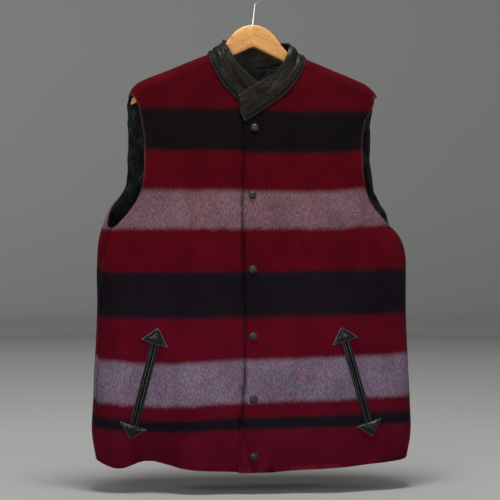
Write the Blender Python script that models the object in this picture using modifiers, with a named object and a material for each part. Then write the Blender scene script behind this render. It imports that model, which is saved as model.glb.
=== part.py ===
"""A sleeveless vest of striped blanket wool with leather trim, hanging on a wooden coat hanger.

Metres, +Z up. The front faces -Y, and the wearer's left is +X. The origin is inside the crown
of the hanger's hook, where a rail carries it, and everything else hangs from there.

Three words place a point on the cloth. Drop is how far it lies below the top of the hanger's
wood. Girth is where it lies round the body: 0 at centre front, 1 at the side, 2 at centre
back. Height is how far it lies below the straight line of the shoulder.
"""

import math
from collections import namedtuple

import bmesh
import bpy
import numpy as np
from mathutils import Vector
from mathutils.bvhtree import BVHTree

# Cloth and leather
WOOL = 0.0030
LINING = 0.0010
COLLAR_LEATHER = 0.0024
BINDING_LEATHER = 0.0014
GAP = 0.0003
LINING_SLACK = 0.0018
TRIM_GAP = 0.0008

# The hook and the wood
WIRE_RADIUS = 0.0017
HOOK_INNER_RADIUS = 0.0195
HOOK_TO_WOOD = 0.082
STEM_LEAN = 0.004
WOOD_HALF_LENGTH = 0.2185
WOOD_HALF_THICKNESS = 0.0118
WOOD_TIP = 0.016
DOME_RADIUS = 0.048
NOTCH_DROP = 0.038
UNDERSIDE_SLOPE = math.tan(math.radians(26.3))

# The shoulder: a straight line falling outwards, which droops over the wood's tip
SHOULDER_TOP = 0.0212
SHOULDER_SLOPE = math.tan(math.radians(22.3))
TIP_HALF_WIDTH = 0.2205
DROOP_START = 0.197
DROOP_RADIUS = 0.027
DROOP_FADES = 0.050
CREST_RADIUS = 0.020
SETTLE_HEIGHT = 0.060

# The neck
NECK_SHIFT = 0.0075
NECK_HALF_WIDTH = 0.087
BACK_NECK_DROP = 0.076

# The body. Fullness 1 is an ellipse in plan, and more is squarer at the sides.
FULLNESS = 1.2
UNDERARM_DROP = 0.3665
HEM_DROP = 0.795
HEM_SIDE_RISE = 0.019
HEM_DIP = 0.009
HEM_DIP_GIRTH = 0.700
HEM_DIP_WIDTH = 0.130
SEAM_GIRTH_RIGHT = 0.880
SEAM_GIRTH_LEFT = 0.975
UNDERARM_GIRTH_RIGHT = 0.805
UNDERARM_GIRTH_LEFT = 0.975
SEAM_SETTLES = 0.150
UNDERARM_TUCK_LEFT = 0.055
UNDERARM_TUCK_WIDTH = 0.018

# The front edges and their overlap
LAP_PAST_CENTRE = 0.022
LAP_HEM_DRIFT = 0.011
LAP_DRIFT_START = 0.600
LAP_APART = 0.0035
LAP_APART_AT_COLLAR = 0.0056
LAP_COLLAR_ZONE = (0.200, 0.290)
LAP_FADE = (0.036, 0.075)
EDGE_TOP_DROP = 0.1755

# Folds. The wearer's right front turns in at the hem.
CURL_PLACE = 0.186
CURL_WIDTH = 0.042
CURL_LENGTH = 0.130
CURL_IN = 0.036
CURL_LIFT = 0.009
SAG_PLACE = 0.165
SAG_WIDTH = 0.075
SAG_DEPTH = 0.009

# Trim
SNAP_RADIUS = 0.0070
SNAP_HEIGHT = 0.0034
SNAP_DROPS = (0.187, 0.307, 0.4385, 0.556, 0.666, 0.766)
SNAP_PAST_CENTRE = -0.0055
LIP_WIDTH = 0.0072
LIP_HEIGHT = 0.0026
SLIT_WIDTH = 0.0006
TAB_BASE = 0.049
TAB_REACH = 0.025
TAB_EDGE = 0.0011
TAB_PUFF = 0.0034

# Mesh density
CREST_STEPS = 4
NECK_STEPS = 5
ARMHOLE_STEPS = 8
BODY_STEPS = 12
BODY_CROWDING = 1.25
FRONT_COLUMNS = 14
BACK_HALF_COLUMNS = 12
COLLAR_ROWS = 6
CORNER_SHARE = 0.40

Girth = namedtuple("Girth", "drop half_width front_depth back_depth")
GIRTHS = (
    Girth(0.060, 0.262, 0.026, 0.026),
    Girth(0.130, 0.262, 0.029, 0.030),
    Girth(0.250, 0.255, 0.043, 0.041),
    Girth(0.323, 0.256, 0.051, 0.047),
    Girth(0.347, 0.2625, 0.054, 0.049),
    Girth(0.368, 0.2700, 0.056, 0.050),
    Girth(0.390, 0.2750, 0.058, 0.051),
    Girth(0.420, 0.2770, 0.061, 0.053),
    Girth(0.520, 0.2775, 0.067, 0.057),
    Girth(0.620, 0.2820, 0.073, 0.060),
    Girth(0.710, 0.2855, 0.077, 0.063),
    Girth(0.757, 0.2840, 0.078, 0.063),
    Girth(0.776, 0.2790, 0.077, 0.062),
    Girth(0.800, 0.2690, 0.076, 0.061),
)

# The armhole's edge, as a distance across. The back's lowest part is given as a girth.
Armhole = namedtuple("Armhole", "drop front back")
ARMHOLE = (
    Armhole(0.1120, 0.2215, 0.2215),
    Armhole(0.1370, 0.2085, 0.2240),
    Armhole(0.1750, 0.2000, 0.2230),
    Armhole(0.2400, 0.1945, 0.2230),
    Armhole(0.2980, 0.2010, 0.2310),
    Armhole(0.3350, 0.2210, 0.2450),
    Armhole(0.3560, 0.2395, 0.2530),
)
ArmholeEdge = namedtuple("ArmholeEdge", "turn girth")
Underarm = namedtuple("Underarm", "drop right left")
BACK_UNDERARM = (
    Underarm(0.3350, 1.030, 1.140),
    Underarm(0.3560, 0.900, 1.060),
)

Neckline = namedtuple("Neckline", "share across drop")
FRONT_NECKLINE = (
    Neckline(0.00, 0.0870, 0.0569),
    Neckline(0.15, 0.0820, 0.0750),
    Neckline(0.35, 0.0680, 0.1010),
    Neckline(0.55, 0.0480, 0.1250),
    Neckline(0.78, 0.0150, 0.1500),
    Neckline(1.00, -0.0235, 0.1755),
)

# The collar's free edge, from the front end round to centre back
CollarEdge = namedtuple("CollarEdge", "station across forward drop")
COLLAR_EDGE = (
    CollarEdge(0.00, -0.0365, 0.0330, 0.1285),
    CollarEdge(0.20, -0.0120, 0.0320, 0.1125),
    CollarEdge(0.45, 0.0180, 0.0300, 0.0930),
    CollarEdge(0.70, 0.0430, 0.0260, 0.0700),
    CollarEdge(0.88, 0.0560, 0.0190, 0.0490),
    CollarEdge(1.00, 0.0620, 0.0060, 0.0350),
    CollarEdge(1.20, 0.0580, -0.0140, 0.0300),
    CollarEdge(1.50, 0.0360, -0.0235, 0.0300),
    CollarEdge(2.00, 0.0000, -0.0265, 0.0310),
)

# The collar's edge lies lower at the wearer's left than at the right.
COLLAR_TILT = 0.0060
COLLAR_TILT_STATION = 0.65
COLLAR_TILT_REACH = 0.30
# It also stands higher and closer to the wood at the right.
COLLAR_LEAN = 0.0070
COLLAR_LIFT = 0.0045
COLLAR_LEAN_STATION = 1.0
COLLAR_LEAN_REACH = 0.35

# A fold is a soft ridge, or a trough where its depth is negative, along a slanting line. It
# lies to the wearer's left where its place is positive.
Fold = namedtuple("Fold", "top_place hem_place top_drop hem_drop width depth")
FRONT_FOLDS = (
    Fold(-0.075, -0.060, 0.240, 0.420, 0.035, -0.0030),
    Fold(-0.120, -0.105, 0.430, 0.800, 0.040, 0.0080),
    Fold(-0.180, -0.186, 0.560, 0.820, 0.040, -0.0060),
    Fold(-0.215, -0.230, 0.480, 0.800, 0.030, 0.0060),
    Fold(0.160, 0.150, 0.200, 0.380, 0.040, 0.0030),
    Fold(0.060, 0.070, 0.300, 0.800, 0.028, -0.0030),
    Fold(0.110, 0.130, 0.400, 0.800, 0.045, 0.0050),
    Fold(0.190, 0.205, 0.450, 0.800, 0.030, -0.0045),
)
BACK_FOLDS = (
    Fold(-0.165, -0.200, 0.300, 0.810, 0.034, -0.0065),
    Fold(-0.090, -0.120, 0.180, 0.800, 0.042, 0.0085),
    Fold(-0.010, -0.035, 0.120, 0.800, 0.036, -0.0060),
    Fold(0.045, 0.030, 0.320, 0.810, 0.034, 0.0040),
    Fold(0.110, 0.085, 0.200, 0.800, 0.046, 0.0060),
    Fold(0.175, 0.165, 0.260, 0.800, 0.036, -0.0060),
)

# Side is +1 for the wearer's left half and -1 for the right. Lap is +1 for the front that
# lies on top, -1 for the one under it and 0 for the back.
Panel = namedtuple("Panel", "side lap")
FRONT_LEFT = Panel(1, 1)
FRONT_RIGHT = Panel(-1, -1)
BACK_LEFT = Panel(1, 0)
BACK_RIGHT = Panel(-1, 0)

# A pocket's line runs between the middles of its two triangular tabs' bases.
Pocket = namedtuple("Pocket", "name panel top_across top_drop low_across low_drop")
POCKETS = (
    Pocket("right", FRONT_RIGHT, 0.1780, 0.5620, 0.2150, 0.7070),
    Pocket("left", FRONT_LEFT, 0.1580, 0.5655, 0.2005, 0.7100),
)

Finish = namedtuple("Finish", "colour roughness metallic")
FINISHES = {
    "wool": Finish((0.110, 0.004, 0.010), 0.95, 0.0),
    "lining": Finish((0.011, 0.012, 0.012), 0.45, 0.0),
    "leather": Finish((0.018, 0.016, 0.015), 0.42, 0.0),
    "snap_metal": Finish((0.060, 0.058, 0.056), 0.38, 0.9),
    "wood": Finish((0.640, 0.340, 0.120), 0.45, 0.0),
    "steel": Finish((0.620, 0.620, 0.620), 0.25, 1.0),
}


def signed_power(value, power):
    return np.sign(value) * np.abs(value) ** power


def ease(share):
    """A smooth step from 0 to 1 as share goes from 0 to 1."""
    share = np.clip(share, 0.0, 1.0)
    return share * share * (3.0 - 2.0 * share)


def bump(offset, width):
    """A soft ridge, 1 in its middle and near 0 at twice its width."""
    return np.exp(-((offset / width) ** 2))


def along(rows, column, at):
    """The column's value where the table's first column is at, on a smooth curve."""
    places = np.array([row[0] for row in rows])
    values = np.array([getattr(row, column) for row in rows])
    slopes = np.gradient(values, places)
    at = np.clip(at, places[0], places[-1])
    low = np.clip(np.searchsorted(places, at) - 1, 0, len(places) - 2)
    step = places[low + 1] - places[low]
    t = (at - places[low]) / step
    rise = ease(t)
    bend_low = t * (1 - t) ** 2
    bend_high = -(t**2) * (1 - t)
    return (
        values[low] * (1 - rise)
        + values[low + 1] * rise
        + step * (slopes[low] * bend_low + slopes[low + 1] * bend_high)
    )


def shoulder_drop(across):
    return SHOULDER_TOP + SHOULDER_SLOPE * across


def plan_shape(girth):
    """Shares of the half width and of the depth, which is negative in front."""
    quarter = math.pi / 2
    turn = np.where(
        girth <= 1,
        quarter * signed_power(girth, FULLNESS),
        math.pi - quarter * signed_power(2 - girth, FULLNESS),
    )
    return (
        signed_power(np.sin(turn), 1 / FULLNESS),
        -signed_power(np.cos(turn), 1 / FULLNESS),
    )


def front_girth(panel, across, drop):
    """The girth of a point on the front that lies so far across from centre front."""
    share = np.clip(across / half_width(panel, drop), -1, 1)
    turn = np.arcsin(signed_power(share, FULLNESS))
    return signed_power(turn / (math.pi / 2), 1 / FULLNESS)


def is_back(panel):
    return panel.lap == 0


def half_width(panel, drop):
    """The body's half width, tucked in a little at the wearer's left underarm."""
    width = along(GIRTHS, "half_width", drop)
    if panel.side > 0:
        tuck = UNDERARM_TUCK_LEFT * bump(drop - UNDERARM_DROP, UNDERARM_TUCK_WIDTH)
        width = width * (1 - tuck)
    return width


def hem_drop(panel, girth):
    """The hem's drop, which rises towards the side seams and dips once at the right front."""
    to_side = np.clip(1 - np.abs(1 - girth), 0, 1)
    dip = HEM_DIP * bump(girth - HEM_DIP_GIRTH, HEM_DIP_WIDTH) if panel is FRONT_RIGHT else 0
    return HEM_DROP - HEM_SIDE_RISE * to_side + dip


def fold_relief(panel, across, drop):
    """How far the folds push the cloth out from its plain form."""
    place = panel.side * across
    relief = np.zeros_like(across)
    for fold in BACK_FOLDS if is_back(panel) else FRONT_FOLDS:
        down = np.clip((drop - fold.top_drop) / (fold.hem_drop - fold.top_drop), 0, 1)
        middle = fold.top_place + (fold.hem_place - fold.top_place) * down
        relief = relief + fold.depth * ease(down * 1.6) * bump(place - middle, fold.width)
    clear_of_lap = 1 if is_back(panel) else ease((across - 0.036) / 0.045)
    return relief * clear_of_lap


def lap_offset(panel, across, drop):
    """How far a front stands off the shared form where the two fronts overlap."""
    start, end = LAP_COLLAR_ZONE
    extra = (LAP_APART_AT_COLLAR - LAP_APART) * (1 - ease((drop - start) / (end - start)))
    near, far = LAP_FADE
    fade = 1 - ease((across - near) / (far - near))
    lift = LAP_APART / 2 + (extra if panel.lap > 0 else 0)
    return panel.lap * lift * fade


def cloth_point(panel, girth, drop):
    """The middle of the wool's thickness at a girth and a drop, as an array of points."""
    girth, drop = np.broadcast_arrays(np.asarray(girth, float), np.asarray(drop, float))
    width_share, depth_share = plan_shape(girth)
    across = half_width(panel, drop) * width_share
    full_depth = np.where(
        depth_share < 0,
        along(GIRTHS, "front_depth", drop),
        along(GIRTHS, "back_depth", drop),
    )
    height = np.maximum(drop - shoulder_drop(across), 0)
    crest = CREST_RADIUS * np.sqrt(1 - (1 - np.minimum(height / CREST_RADIUS, 1)) ** 2)
    body = full_depth * np.abs(depth_share) - CREST_RADIUS
    depth = crest + body * ease(height / SETTLE_HEIGHT)
    facing = np.abs(depth_share) ** 0.5
    depth = depth + fold_relief(panel, across, drop) * facing * ease(height / SETTLE_HEIGHT)
    depth = depth + lap_offset(panel, across, drop)
    past = np.clip(across - DROOP_START, 0, DROOP_RADIUS * 0.9)
    droop = DROOP_RADIUS - np.sqrt(DROOP_RADIUS**2 - past**2)
    low = drop + droop * (1 - ease(height / DROOP_FADES))
    if panel is FRONT_RIGHT:
        sag = ease((drop - 0.48) / 0.12) * (1 - ease((drop - 0.69) / 0.09))
        low = low + SAG_DEPTH * bump(across - SAG_PLACE, SAG_WIDTH) * sag
        share = np.clip(1 - (hem_drop(panel, girth) - drop) / CURL_LENGTH, 0, None)
        curl = bump(across - CURL_PLACE, CURL_WIDTH)
        depth = depth - CURL_IN * curl * share**2
        low = low - CURL_LIFT * curl * share**3
    shift = NECK_SHIFT * (1 - ease((drop - 0.10) / 0.25)) * (1 - ease((across - 0.10) / 0.08))
    low = low + SHOULDER_SLOPE * shift * panel.side * (1 - ease(height / SETTLE_HEIGHT))
    return np.stack(
        [
            panel.side * across + shift,
            np.where(depth_share < 0, -depth, depth),
            -HOOK_TO_WOOD - low,
        ],
        axis=-1,
    )


def unit(vectors):
    return vectors / np.linalg.norm(vectors, axis=-1, keepdims=True)


def cloth_normal(panel, girth, drop):
    """The outward direction of the cloth."""
    small = 2e-4
    round_body = cloth_point(panel, girth + small, drop) - cloth_point(panel, girth - small, drop)
    down = cloth_point(panel, girth, drop + small) - cloth_point(panel, girth, drop - small)
    return unit(-panel.side * np.cross(round_body, down))


def crest_shares():
    """Shares of the armhole's depth for the rows that turn over the shoulder's crest."""
    depth = UNDERARM_DROP - ARMHOLE[0].drop
    turns = np.linspace(0, math.pi / 2, CREST_STEPS + 1)
    return CREST_RADIUS * (1 - np.cos(turns)) / depth


def row_shares():
    """Shares of the armhole's depth for every row from the shoulder down to the underarm."""
    crest = crest_shares()
    neck = np.linspace(crest[-1], CORNER_SHARE, NECK_STEPS + 1)[1:]
    turn = np.linspace(0, 1, ARMHOLE_STEPS + 1)[1:]
    arm = CORNER_SHARE + (1 - CORNER_SHARE) * np.sin(turn * math.pi / 2)
    return np.concatenate([crest, neck, arm])


def seam_girth(panel, drop):
    """The side seam's girth, with half the gap taken off each panel."""
    low = SEAM_GIRTH_LEFT if panel.side > 0 else SEAM_GIRTH_RIGHT
    high = UNDERARM_GIRTH_LEFT if panel.side > 0 else UNDERARM_GIRTH_RIGHT
    girth = high + (low - high) * ease((drop - UNDERARM_DROP) / SEAM_SETTLES)
    small = 1e-3
    step = cloth_point(panel, girth + small, drop) - cloth_point(panel, girth - small, drop)
    half_gap = GAP / 2 * 2 * small / np.linalg.norm(step, axis=-1)
    return girth + (half_gap if is_back(panel) else -half_gap)


def armhole_girths(panel, shares):
    """The girth of the armhole's edge at each row, ending on the side seam."""
    drops = np.array([row.drop for row in ARMHOLE])
    if is_back(panel):
        girths = 2 - front_girth(panel, np.array([row.back for row in ARMHOLE]), drops)
        low = [row.left if panel.side > 0 else row.right for row in BACK_UNDERARM]
        girths[-len(low) :] = low
    else:
        girths = front_girth(panel, np.array([row.front for row in ARMHOLE]), drops)
    turns = np.arcsin(np.append((drops - drops[0]) / (UNDERARM_DROP - drops[0]), 1.0))
    girths = np.append(girths, seam_girth(panel, UNDERARM_DROP))
    rows = [ArmholeEdge(turn, girth) for turn, girth in zip(turns, girths)]
    return along(rows, "girth", np.arcsin(np.clip(shares, 0, 1)))


def inner_edge(panel, shares):
    """Girth and drop of the edge nearest the centre: neckline above, then the front edge or
    centre back."""
    corner = np.clip(shares / CORNER_SHARE, 0, 1)
    below = np.clip((shares - CORNER_SHARE) / (1 - CORNER_SHARE), 0, 1)
    if is_back(panel):
        turn = corner * math.pi / 2
        neck_drop = shoulder_drop(NECK_HALF_WIDTH)
        drop = neck_drop + (BACK_NECK_DROP - neck_drop) * np.sin(turn)
        drop = drop + (UNDERARM_DROP - BACK_NECK_DROP) * below
        across = NECK_HALF_WIDTH * np.cos(turn)
        return 2 - front_girth(panel, across, drop), drop
    drop = along(FRONT_NECKLINE, "drop", corner) + (UNDERARM_DROP - EDGE_TOP_DROP) * below
    across = along(FRONT_NECKLINE, "across", corner)
    return front_girth(panel, across, drop), drop


def edge_across(drop):
    """How far the front edge lies across from centre front, on the lower body."""
    drift = ease((drop - LAP_DRIFT_START) / (HEM_DROP - LAP_DRIFT_START))
    return -LAP_PAST_CENTRE - LAP_HEM_DRIFT * drift


def panel_grid(panel, columns):
    """Girths and drops of a panel's points: rows run down from the shoulder to the hem, and
    columns from the centre to the side."""
    shares = row_shares()
    outer_girth = armhole_girths(panel, shares)
    inner_girth, inner_drop = inner_edge(panel, shares)
    outer_drop = ARMHOLE[0].drop + (UNDERARM_DROP - ARMHOLE[0].drop) * shares
    way = np.linspace(0, 1, columns + 1)
    girth = inner_girth[:, None] + (outer_girth - inner_girth)[:, None] * way
    level = inner_drop[:, None] + (outer_drop - inner_drop)[:, None] * way
    width_share, _ = plan_shape(girth)
    across = half_width(panel, level) * width_share
    inner_height = inner_drop - shoulder_drop(across[:, 0])
    outer_height = outer_drop - shoulder_drop(across[:, -1])
    height = inner_height[:, None] + (outer_height - inner_height)[:, None] * way
    slanting = shoulder_drop(across) + height
    flatten = ease(shares)[:, None]
    drop = slanting * (1 - flatten) + level * flatten
    down = np.linspace(0, 1, BODY_STEPS + 1)[1:] ** BODY_CROWDING
    plain_drop = UNDERARM_DROP + (HEM_DROP - UNDERARM_DROP) * down
    body_inner = np.full(BODY_STEPS, 2.0)
    if not is_back(panel):
        body_inner = front_girth(panel, edge_across(plain_drop), plain_drop)
    seam = seam_girth(panel, plain_drop)
    body_girth = body_inner[:, None] + (seam - body_inner)[:, None] * way
    body_drop = UNDERARM_DROP + (hem_drop(panel, body_girth) - UNDERARM_DROP) * down[:, None]
    return np.concatenate([girth, body_girth]), np.concatenate([drop, body_drop])


def grid_quads(rows, columns, flip):
    """Quads of a grid of points numbered row by row."""
    quads = []
    for row in range(rows - 1):
        for column in range(columns - 1):
            corner = row * columns + column
            quad = (corner, corner + 1, corner + columns + 1, corner + columns)
            quads.append(quad[::-1] if flip else quad)
    return quads


def finish_material(finish):
    """The material of a finish, made once."""
    material = bpy.data.materials.get(finish)
    if material is None:
        look = FINISHES[finish]
        material = bpy.data.materials.new(finish)
        material.use_nodes = True
        shader = material.node_tree.nodes["Principled BSDF"]
        shader.inputs["Base Color"].default_value = (*look.colour, 1)
        shader.inputs["Roughness"].default_value = look.roughness
        shader.inputs["Metallic"].default_value = look.metallic
    return material


def add_object(name, data, finish, collection):
    piece = bpy.data.objects.new(name, data)
    piece.data.materials.append(finish_material(finish))
    collection.objects.link(piece)
    return piece


def split_quads(quads, points):
    """Two triangles for each quad, split along its shorter diagonal."""
    triangles = []
    for a, b, c, d in quads:
        if np.linalg.norm(points[a] - points[c]) <= np.linalg.norm(points[b] - points[d]):
            triangles += [(a, b, c), (a, c, d)]
        else:
            triangles += [(a, b, d), (b, c, d)]
    return triangles


def add_wall(name, outer, inner, quads, finish, collection):
    """A closed wall between matching outer and inner points, with a rim round its edges."""
    count = len(outer)
    sides = {(quad[k - 1], quad[k]) for quad in quads for k in range(4)}
    rims = [(b, a, a + count, b + count) for a, b in sorted(sides) if (b, a) not in sides]
    faces = split_quads(quads, outer)
    backs = [tuple(point + count for point in face[::-1]) for face in faces]
    mesh = bpy.data.meshes.new(name)
    mesh.from_pydata(np.concatenate([outer, inner]).tolist(), [], faces + backs + rims)
    work = bmesh.new()
    work.from_mesh(mesh)
    bmesh.ops.recalc_face_normals(work, faces=work.faces)
    work.to_mesh(mesh)
    work.free()
    mesh.shade_smooth()
    mesh.set_sharp_from_angle(angle=math.radians(40))
    return add_object(name, mesh, finish, collection)


def half_wall(panel, columns, out, into, keep_rows, keep_columns):
    """Outer and inner points of a panel's chosen rows and columns. Out and into are offsets
    from the middle of the wool. A lining, whose offsets are negative, hangs slack within its
    edges."""
    girth, drop = panel_grid(panel, columns)
    rows, wide = girth.shape
    from_edge = np.minimum.outer(
        np.minimum(np.arange(rows), np.arange(rows)[::-1]),
        np.minimum(np.arange(wide), np.arange(wide)[::-1]),
    )
    middle = cloth_point(panel, girth, drop)
    normal = cloth_normal(panel, girth, drop)
    middle[0, :, 1] = GAP / 2 if is_back(panel) else -GAP / 2
    normal[0] = unit(normal[0] * (1, 0, 1))
    if out < 0:
        middle = middle - normal * LINING_SLACK * ease(from_edge / 3)[..., None]
    choose = np.ix_(keep_rows, keep_columns)
    return (middle + normal * out)[choose], (middle + normal * into)[choose]


def add_front(name, panel, columns, out, into, rows, picks, finish, collection):
    """A front panel, or its lining, as one wall. Returns its outer face, to lay trim on."""
    outer, inner = half_wall(panel, columns, out, into, rows, picks)
    quads = grid_quads(len(rows), len(picks), panel.side < 0)
    add_wall(name, outer.reshape(-1, 3), inner.reshape(-1, 3), quads, finish, collection)
    points = outer.reshape(-1, 3)
    return BVHTree.FromPolygons(points.tolist(), split_quads(quads, points))


def add_back(name, out, into, rows, picks, finish, collection):
    """The back, or its lining: two halves that share the points of centre back."""
    corner = CREST_STEPS + NECK_STEPS
    outers, inners, quads = [], [], []
    shared = {}
    for panel in (BACK_LEFT, BACK_RIGHT):
        outer, inner = half_wall(panel, BACK_HALF_COLUMNS, out, into, rows, picks)
        places = {}
        for row, source_row in enumerate(rows):
            for column in range(len(picks)):
                at_centre = column == 0 and source_row >= corner
                if at_centre and panel is BACK_RIGHT:
                    places[row, column] = shared[row]
                    continue
                places[row, column] = len(outers)
                if at_centre:
                    shared[row] = len(outers)
                outers.append(outer[row, column] * ((0, 1, 1) if at_centre else 1))
                inners.append(inner[row, column] * ((0, 1, 1) if at_centre else 1))
        for row in range(len(rows) - 1):
            for column in range(len(picks) - 1):
                ring = ((row, column), (row, column + 1), (row + 1, column + 1), (row + 1, column))
                quad = tuple(places[place] for place in ring)
                quads.append(quad[::-1] if panel.side < 0 else quad)
    add_wall(name, np.array(outers), np.array(inners), quads, finish, collection)


def neckline_station(station, side):
    """Panel, girth and drop of the neck seam. Station 0 is the front end, 1 the neck point
    on the shoulder and 2 centre back."""
    if station <= 1:
        panel = FRONT_LEFT if side > 0 else FRONT_RIGHT
        share = (1 - station) * CORNER_SHARE
    else:
        panel = BACK_LEFT if side > 0 else BACK_RIGHT
        share = (station - 1) * CORNER_SHARE
    girth, drop = inner_edge(panel, np.array([share]))
    return panel, girth, drop


def seam_point(station, side):
    panel, girth, drop = neckline_station(station, side)
    point = cloth_point(panel, girth, drop)[0]
    if abs(station - 1) < 1e-9:
        point[1] = 0
    if station == 2:
        point[0] = 0
    return point


def seam_frame(station, side):
    """The neck seam's point, the cloth's outward normal there, and the direction that leads
    on from the cloth's edge into the collar."""
    panel, girth, drop = neckline_station(station, side)
    normal = cloth_normal(panel, girth, drop)[0]
    if abs(station - 1) < 1e-9:
        normal = unit(normal * (1, 0, 1))
    small = 0.01
    ahead = seam_point(min(station + small, 2), side)
    behind = seam_point(max(station - small, 0), side)
    if station == 2:
        normal = unit(normal * (0, 1, 1))
        ahead = behind * (-1, 1, 1)
    onward = unit(np.cross(normal, ahead - behind)) * side
    if onward[2] < 0:
        onward = -onward
    return seam_point(station, side), normal, onward


def collar_section(station, side):
    """Points from the neck seam up to the collar's free edge, and the seam's normal."""
    seam, normal, onward = seam_frame(station, side)
    edge = np.array(
        [
            side * along(COLLAR_EDGE, "across", station),
            -along(COLLAR_EDGE, "forward", station),
            -HOOK_TO_WOOD - along(COLLAR_EDGE, "drop", station),
        ]
    )
    edge[0] += NECK_SHIFT * (2 - station) / 2
    edge[2] -= COLLAR_TILT * side * bump(station - COLLAR_TILT_STATION, COLLAR_TILT_REACH)
    if side < 0:
        stands = bump(station - COLLAR_LEAN_STATION, COLLAR_LEAN_REACH)
        edge += np.array([COLLAR_LEAN, 0, COLLAR_LIFT]) * stands
    over = (1 - ease((station - 0.05) / 0.55)) * (1 if side > 0 else -1)
    edge[1] -= 0.0036 * over
    start = seam + onward * GAP * 3
    reach = np.linalg.norm(edge - seam)
    lead = start + onward * reach * 0.35
    tail = edge + unit(seam - edge) * reach * 0.35 + normal * 0.0015
    steps = np.concatenate([[0, 0.07], np.linspace(0, 1, COLLAR_ROWS)[1:]])
    return bezier(start, lead, tail, edge, steps), normal


def bezier(start, lead, tail, end, steps):
    """Points on the cubic curve from start to end."""
    t = steps[:, None]
    return (
        start * (1 - t) ** 3
        + 3 * lead * t * (1 - t) ** 2
        + 3 * tail * t**2 * (1 - t)
        + end * t**3
    )


def collar_stations():
    """Stations and sides of the collar's sections, one at each row of the panels, from its
    upper front end round the back to the end that lies underneath."""
    shares = row_shares()[: CREST_STEPS + NECK_STEPS + 1] / CORNER_SHARE
    half = np.concatenate([1 - shares[::-1], 1 + shares[1:]])
    return [(s, 1) for s in half] + [(s, -1) for s in half[-2::-1]]


def grid_normals(points):
    """Unit normals of a grid of points, by differences along its rows and columns."""
    across = np.gradient(points, axis=0)
    up = np.gradient(points, axis=1)
    return unit(np.cross(across, up))


def add_collar(collection):
    """The standing collar in one piece, whose left front end laps over its right one."""
    stations = collar_stations()
    middle = np.array([collar_section(*place)[0] for place in stations])
    normal = grid_normals(middle)
    seams = np.array([seam_frame(*place)[1] for place in stations])
    if (normal[:, 0] * seams).sum() < 0:
        normal = -normal
    normal[:, 0] = seams
    rows = middle.shape[1]
    half = COLLAR_LEATHER / 2
    outer, inner = middle + half * normal, middle - half * normal
    quads = grid_quads(len(stations), rows, False)
    add_wall("collar", outer.reshape(-1, 3), inner.reshape(-1, 3), quads, "leather", collection)


def add_neck_binding(collection):
    """The narrow leather strip over the neck seam, stopped where the upper front covers it."""
    outers, inners = [], []
    for station, side in collar_stations():
        if side < 0 and station < 0.20:
            continue
        points, normal = collar_section(station, side)
        seam, _, onward = seam_frame(station, side)
        lift = WOOL / 2 + 2 * GAP
        section = [seam - onward * 0.0008, seam + onward * 0.0010]
        facing = [normal, normal]
        for start, end, share in ((1, 2, 0.35), (1, 2, 0.95)):
            place = points[start] + (points[end] - points[start]) * share
            rise = unit(points[end] - points[start])
            section.append(place)
            facing.append(unit(normal - rise * np.dot(normal, rise)))
        section, facing = np.array(section), np.array(facing)
        outers.append(section + facing * (lift + BINDING_LEATHER))
        inners.append(section + facing * lift)
    outer, inner = np.array(outers), np.array(inners)
    quads = grid_quads(*outer.shape[:2], False)
    add_wall(
        "neck_binding", outer.reshape(-1, 3), inner.reshape(-1, 3), quads, "leather", collection
    )


def on_face(face, panel, across, drop, out):
    """Points on a front's outer face, moved out by the trim's gap and by out."""
    across, drop, out = np.broadcast_arrays(across, drop, out)
    girth = front_girth(panel, across, drop)
    points = cloth_point(panel, girth, drop)
    normals = cloth_normal(panel, girth, drop)
    placed = []
    for point, normal, rise in zip(points.reshape(-1, 3), normals.reshape(-1, 3), out.ravel()):
        hit, _, _, _ = face.ray_cast(Vector(point + normal * 0.03), Vector(-normal))
        placed.append(np.array(hit) + normal * (TRIM_GAP + rise))
    return np.array(placed)


def pocket_frame(pocket):
    """The pocket line's middle, its direction down and its direction away from the centre,
    all as across and drop."""
    top = np.array([pocket.top_across, pocket.top_drop])
    low = np.array([pocket.low_across, pocket.low_drop])
    length = np.linalg.norm(low - top)
    down = (low - top) / length
    return (top + low) / 2, down, np.array([down[1], -down[0]]), length


def add_pocket_lip(pocket, face, inner_lip, collection):
    """One of a pocket's two rolled leather lips, a bar with a rounded top."""
    middle, down, away, length = pocket_frame(pocket)
    centre = (SLIT_WIDTH + LIP_WIDTH) / 2 * (-1 if inner_lip else 1)
    turns = np.linspace(0, math.pi, 5)
    offsets = -np.cos(turns) * LIP_WIDTH / 2
    heights = 0.0008 + (LIP_HEIGHT - 0.0008) * np.sin(turns)
    outer, inner = [], []
    for place in np.linspace(-0.5, 0.5, 13) * (length - 2 * GAP):
        line = middle + down * place
        spots = line + away * (centre + offsets)[:, None]
        outer.append(on_face(face, pocket.panel, spots[:, 0], spots[:, 1], heights))
        inner.append(on_face(face, pocket.panel, spots[:, 0], spots[:, 1], 0.0))
    quads = grid_quads(13, len(turns), pocket.panel.side > 0)
    name = f"pocket_{pocket.name}_lip_{'inner' if inner_lip else 'outer'}"
    add_wall(
        name, np.concatenate(outer), np.concatenate(inner), quads, "leather", collection
    )


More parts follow.
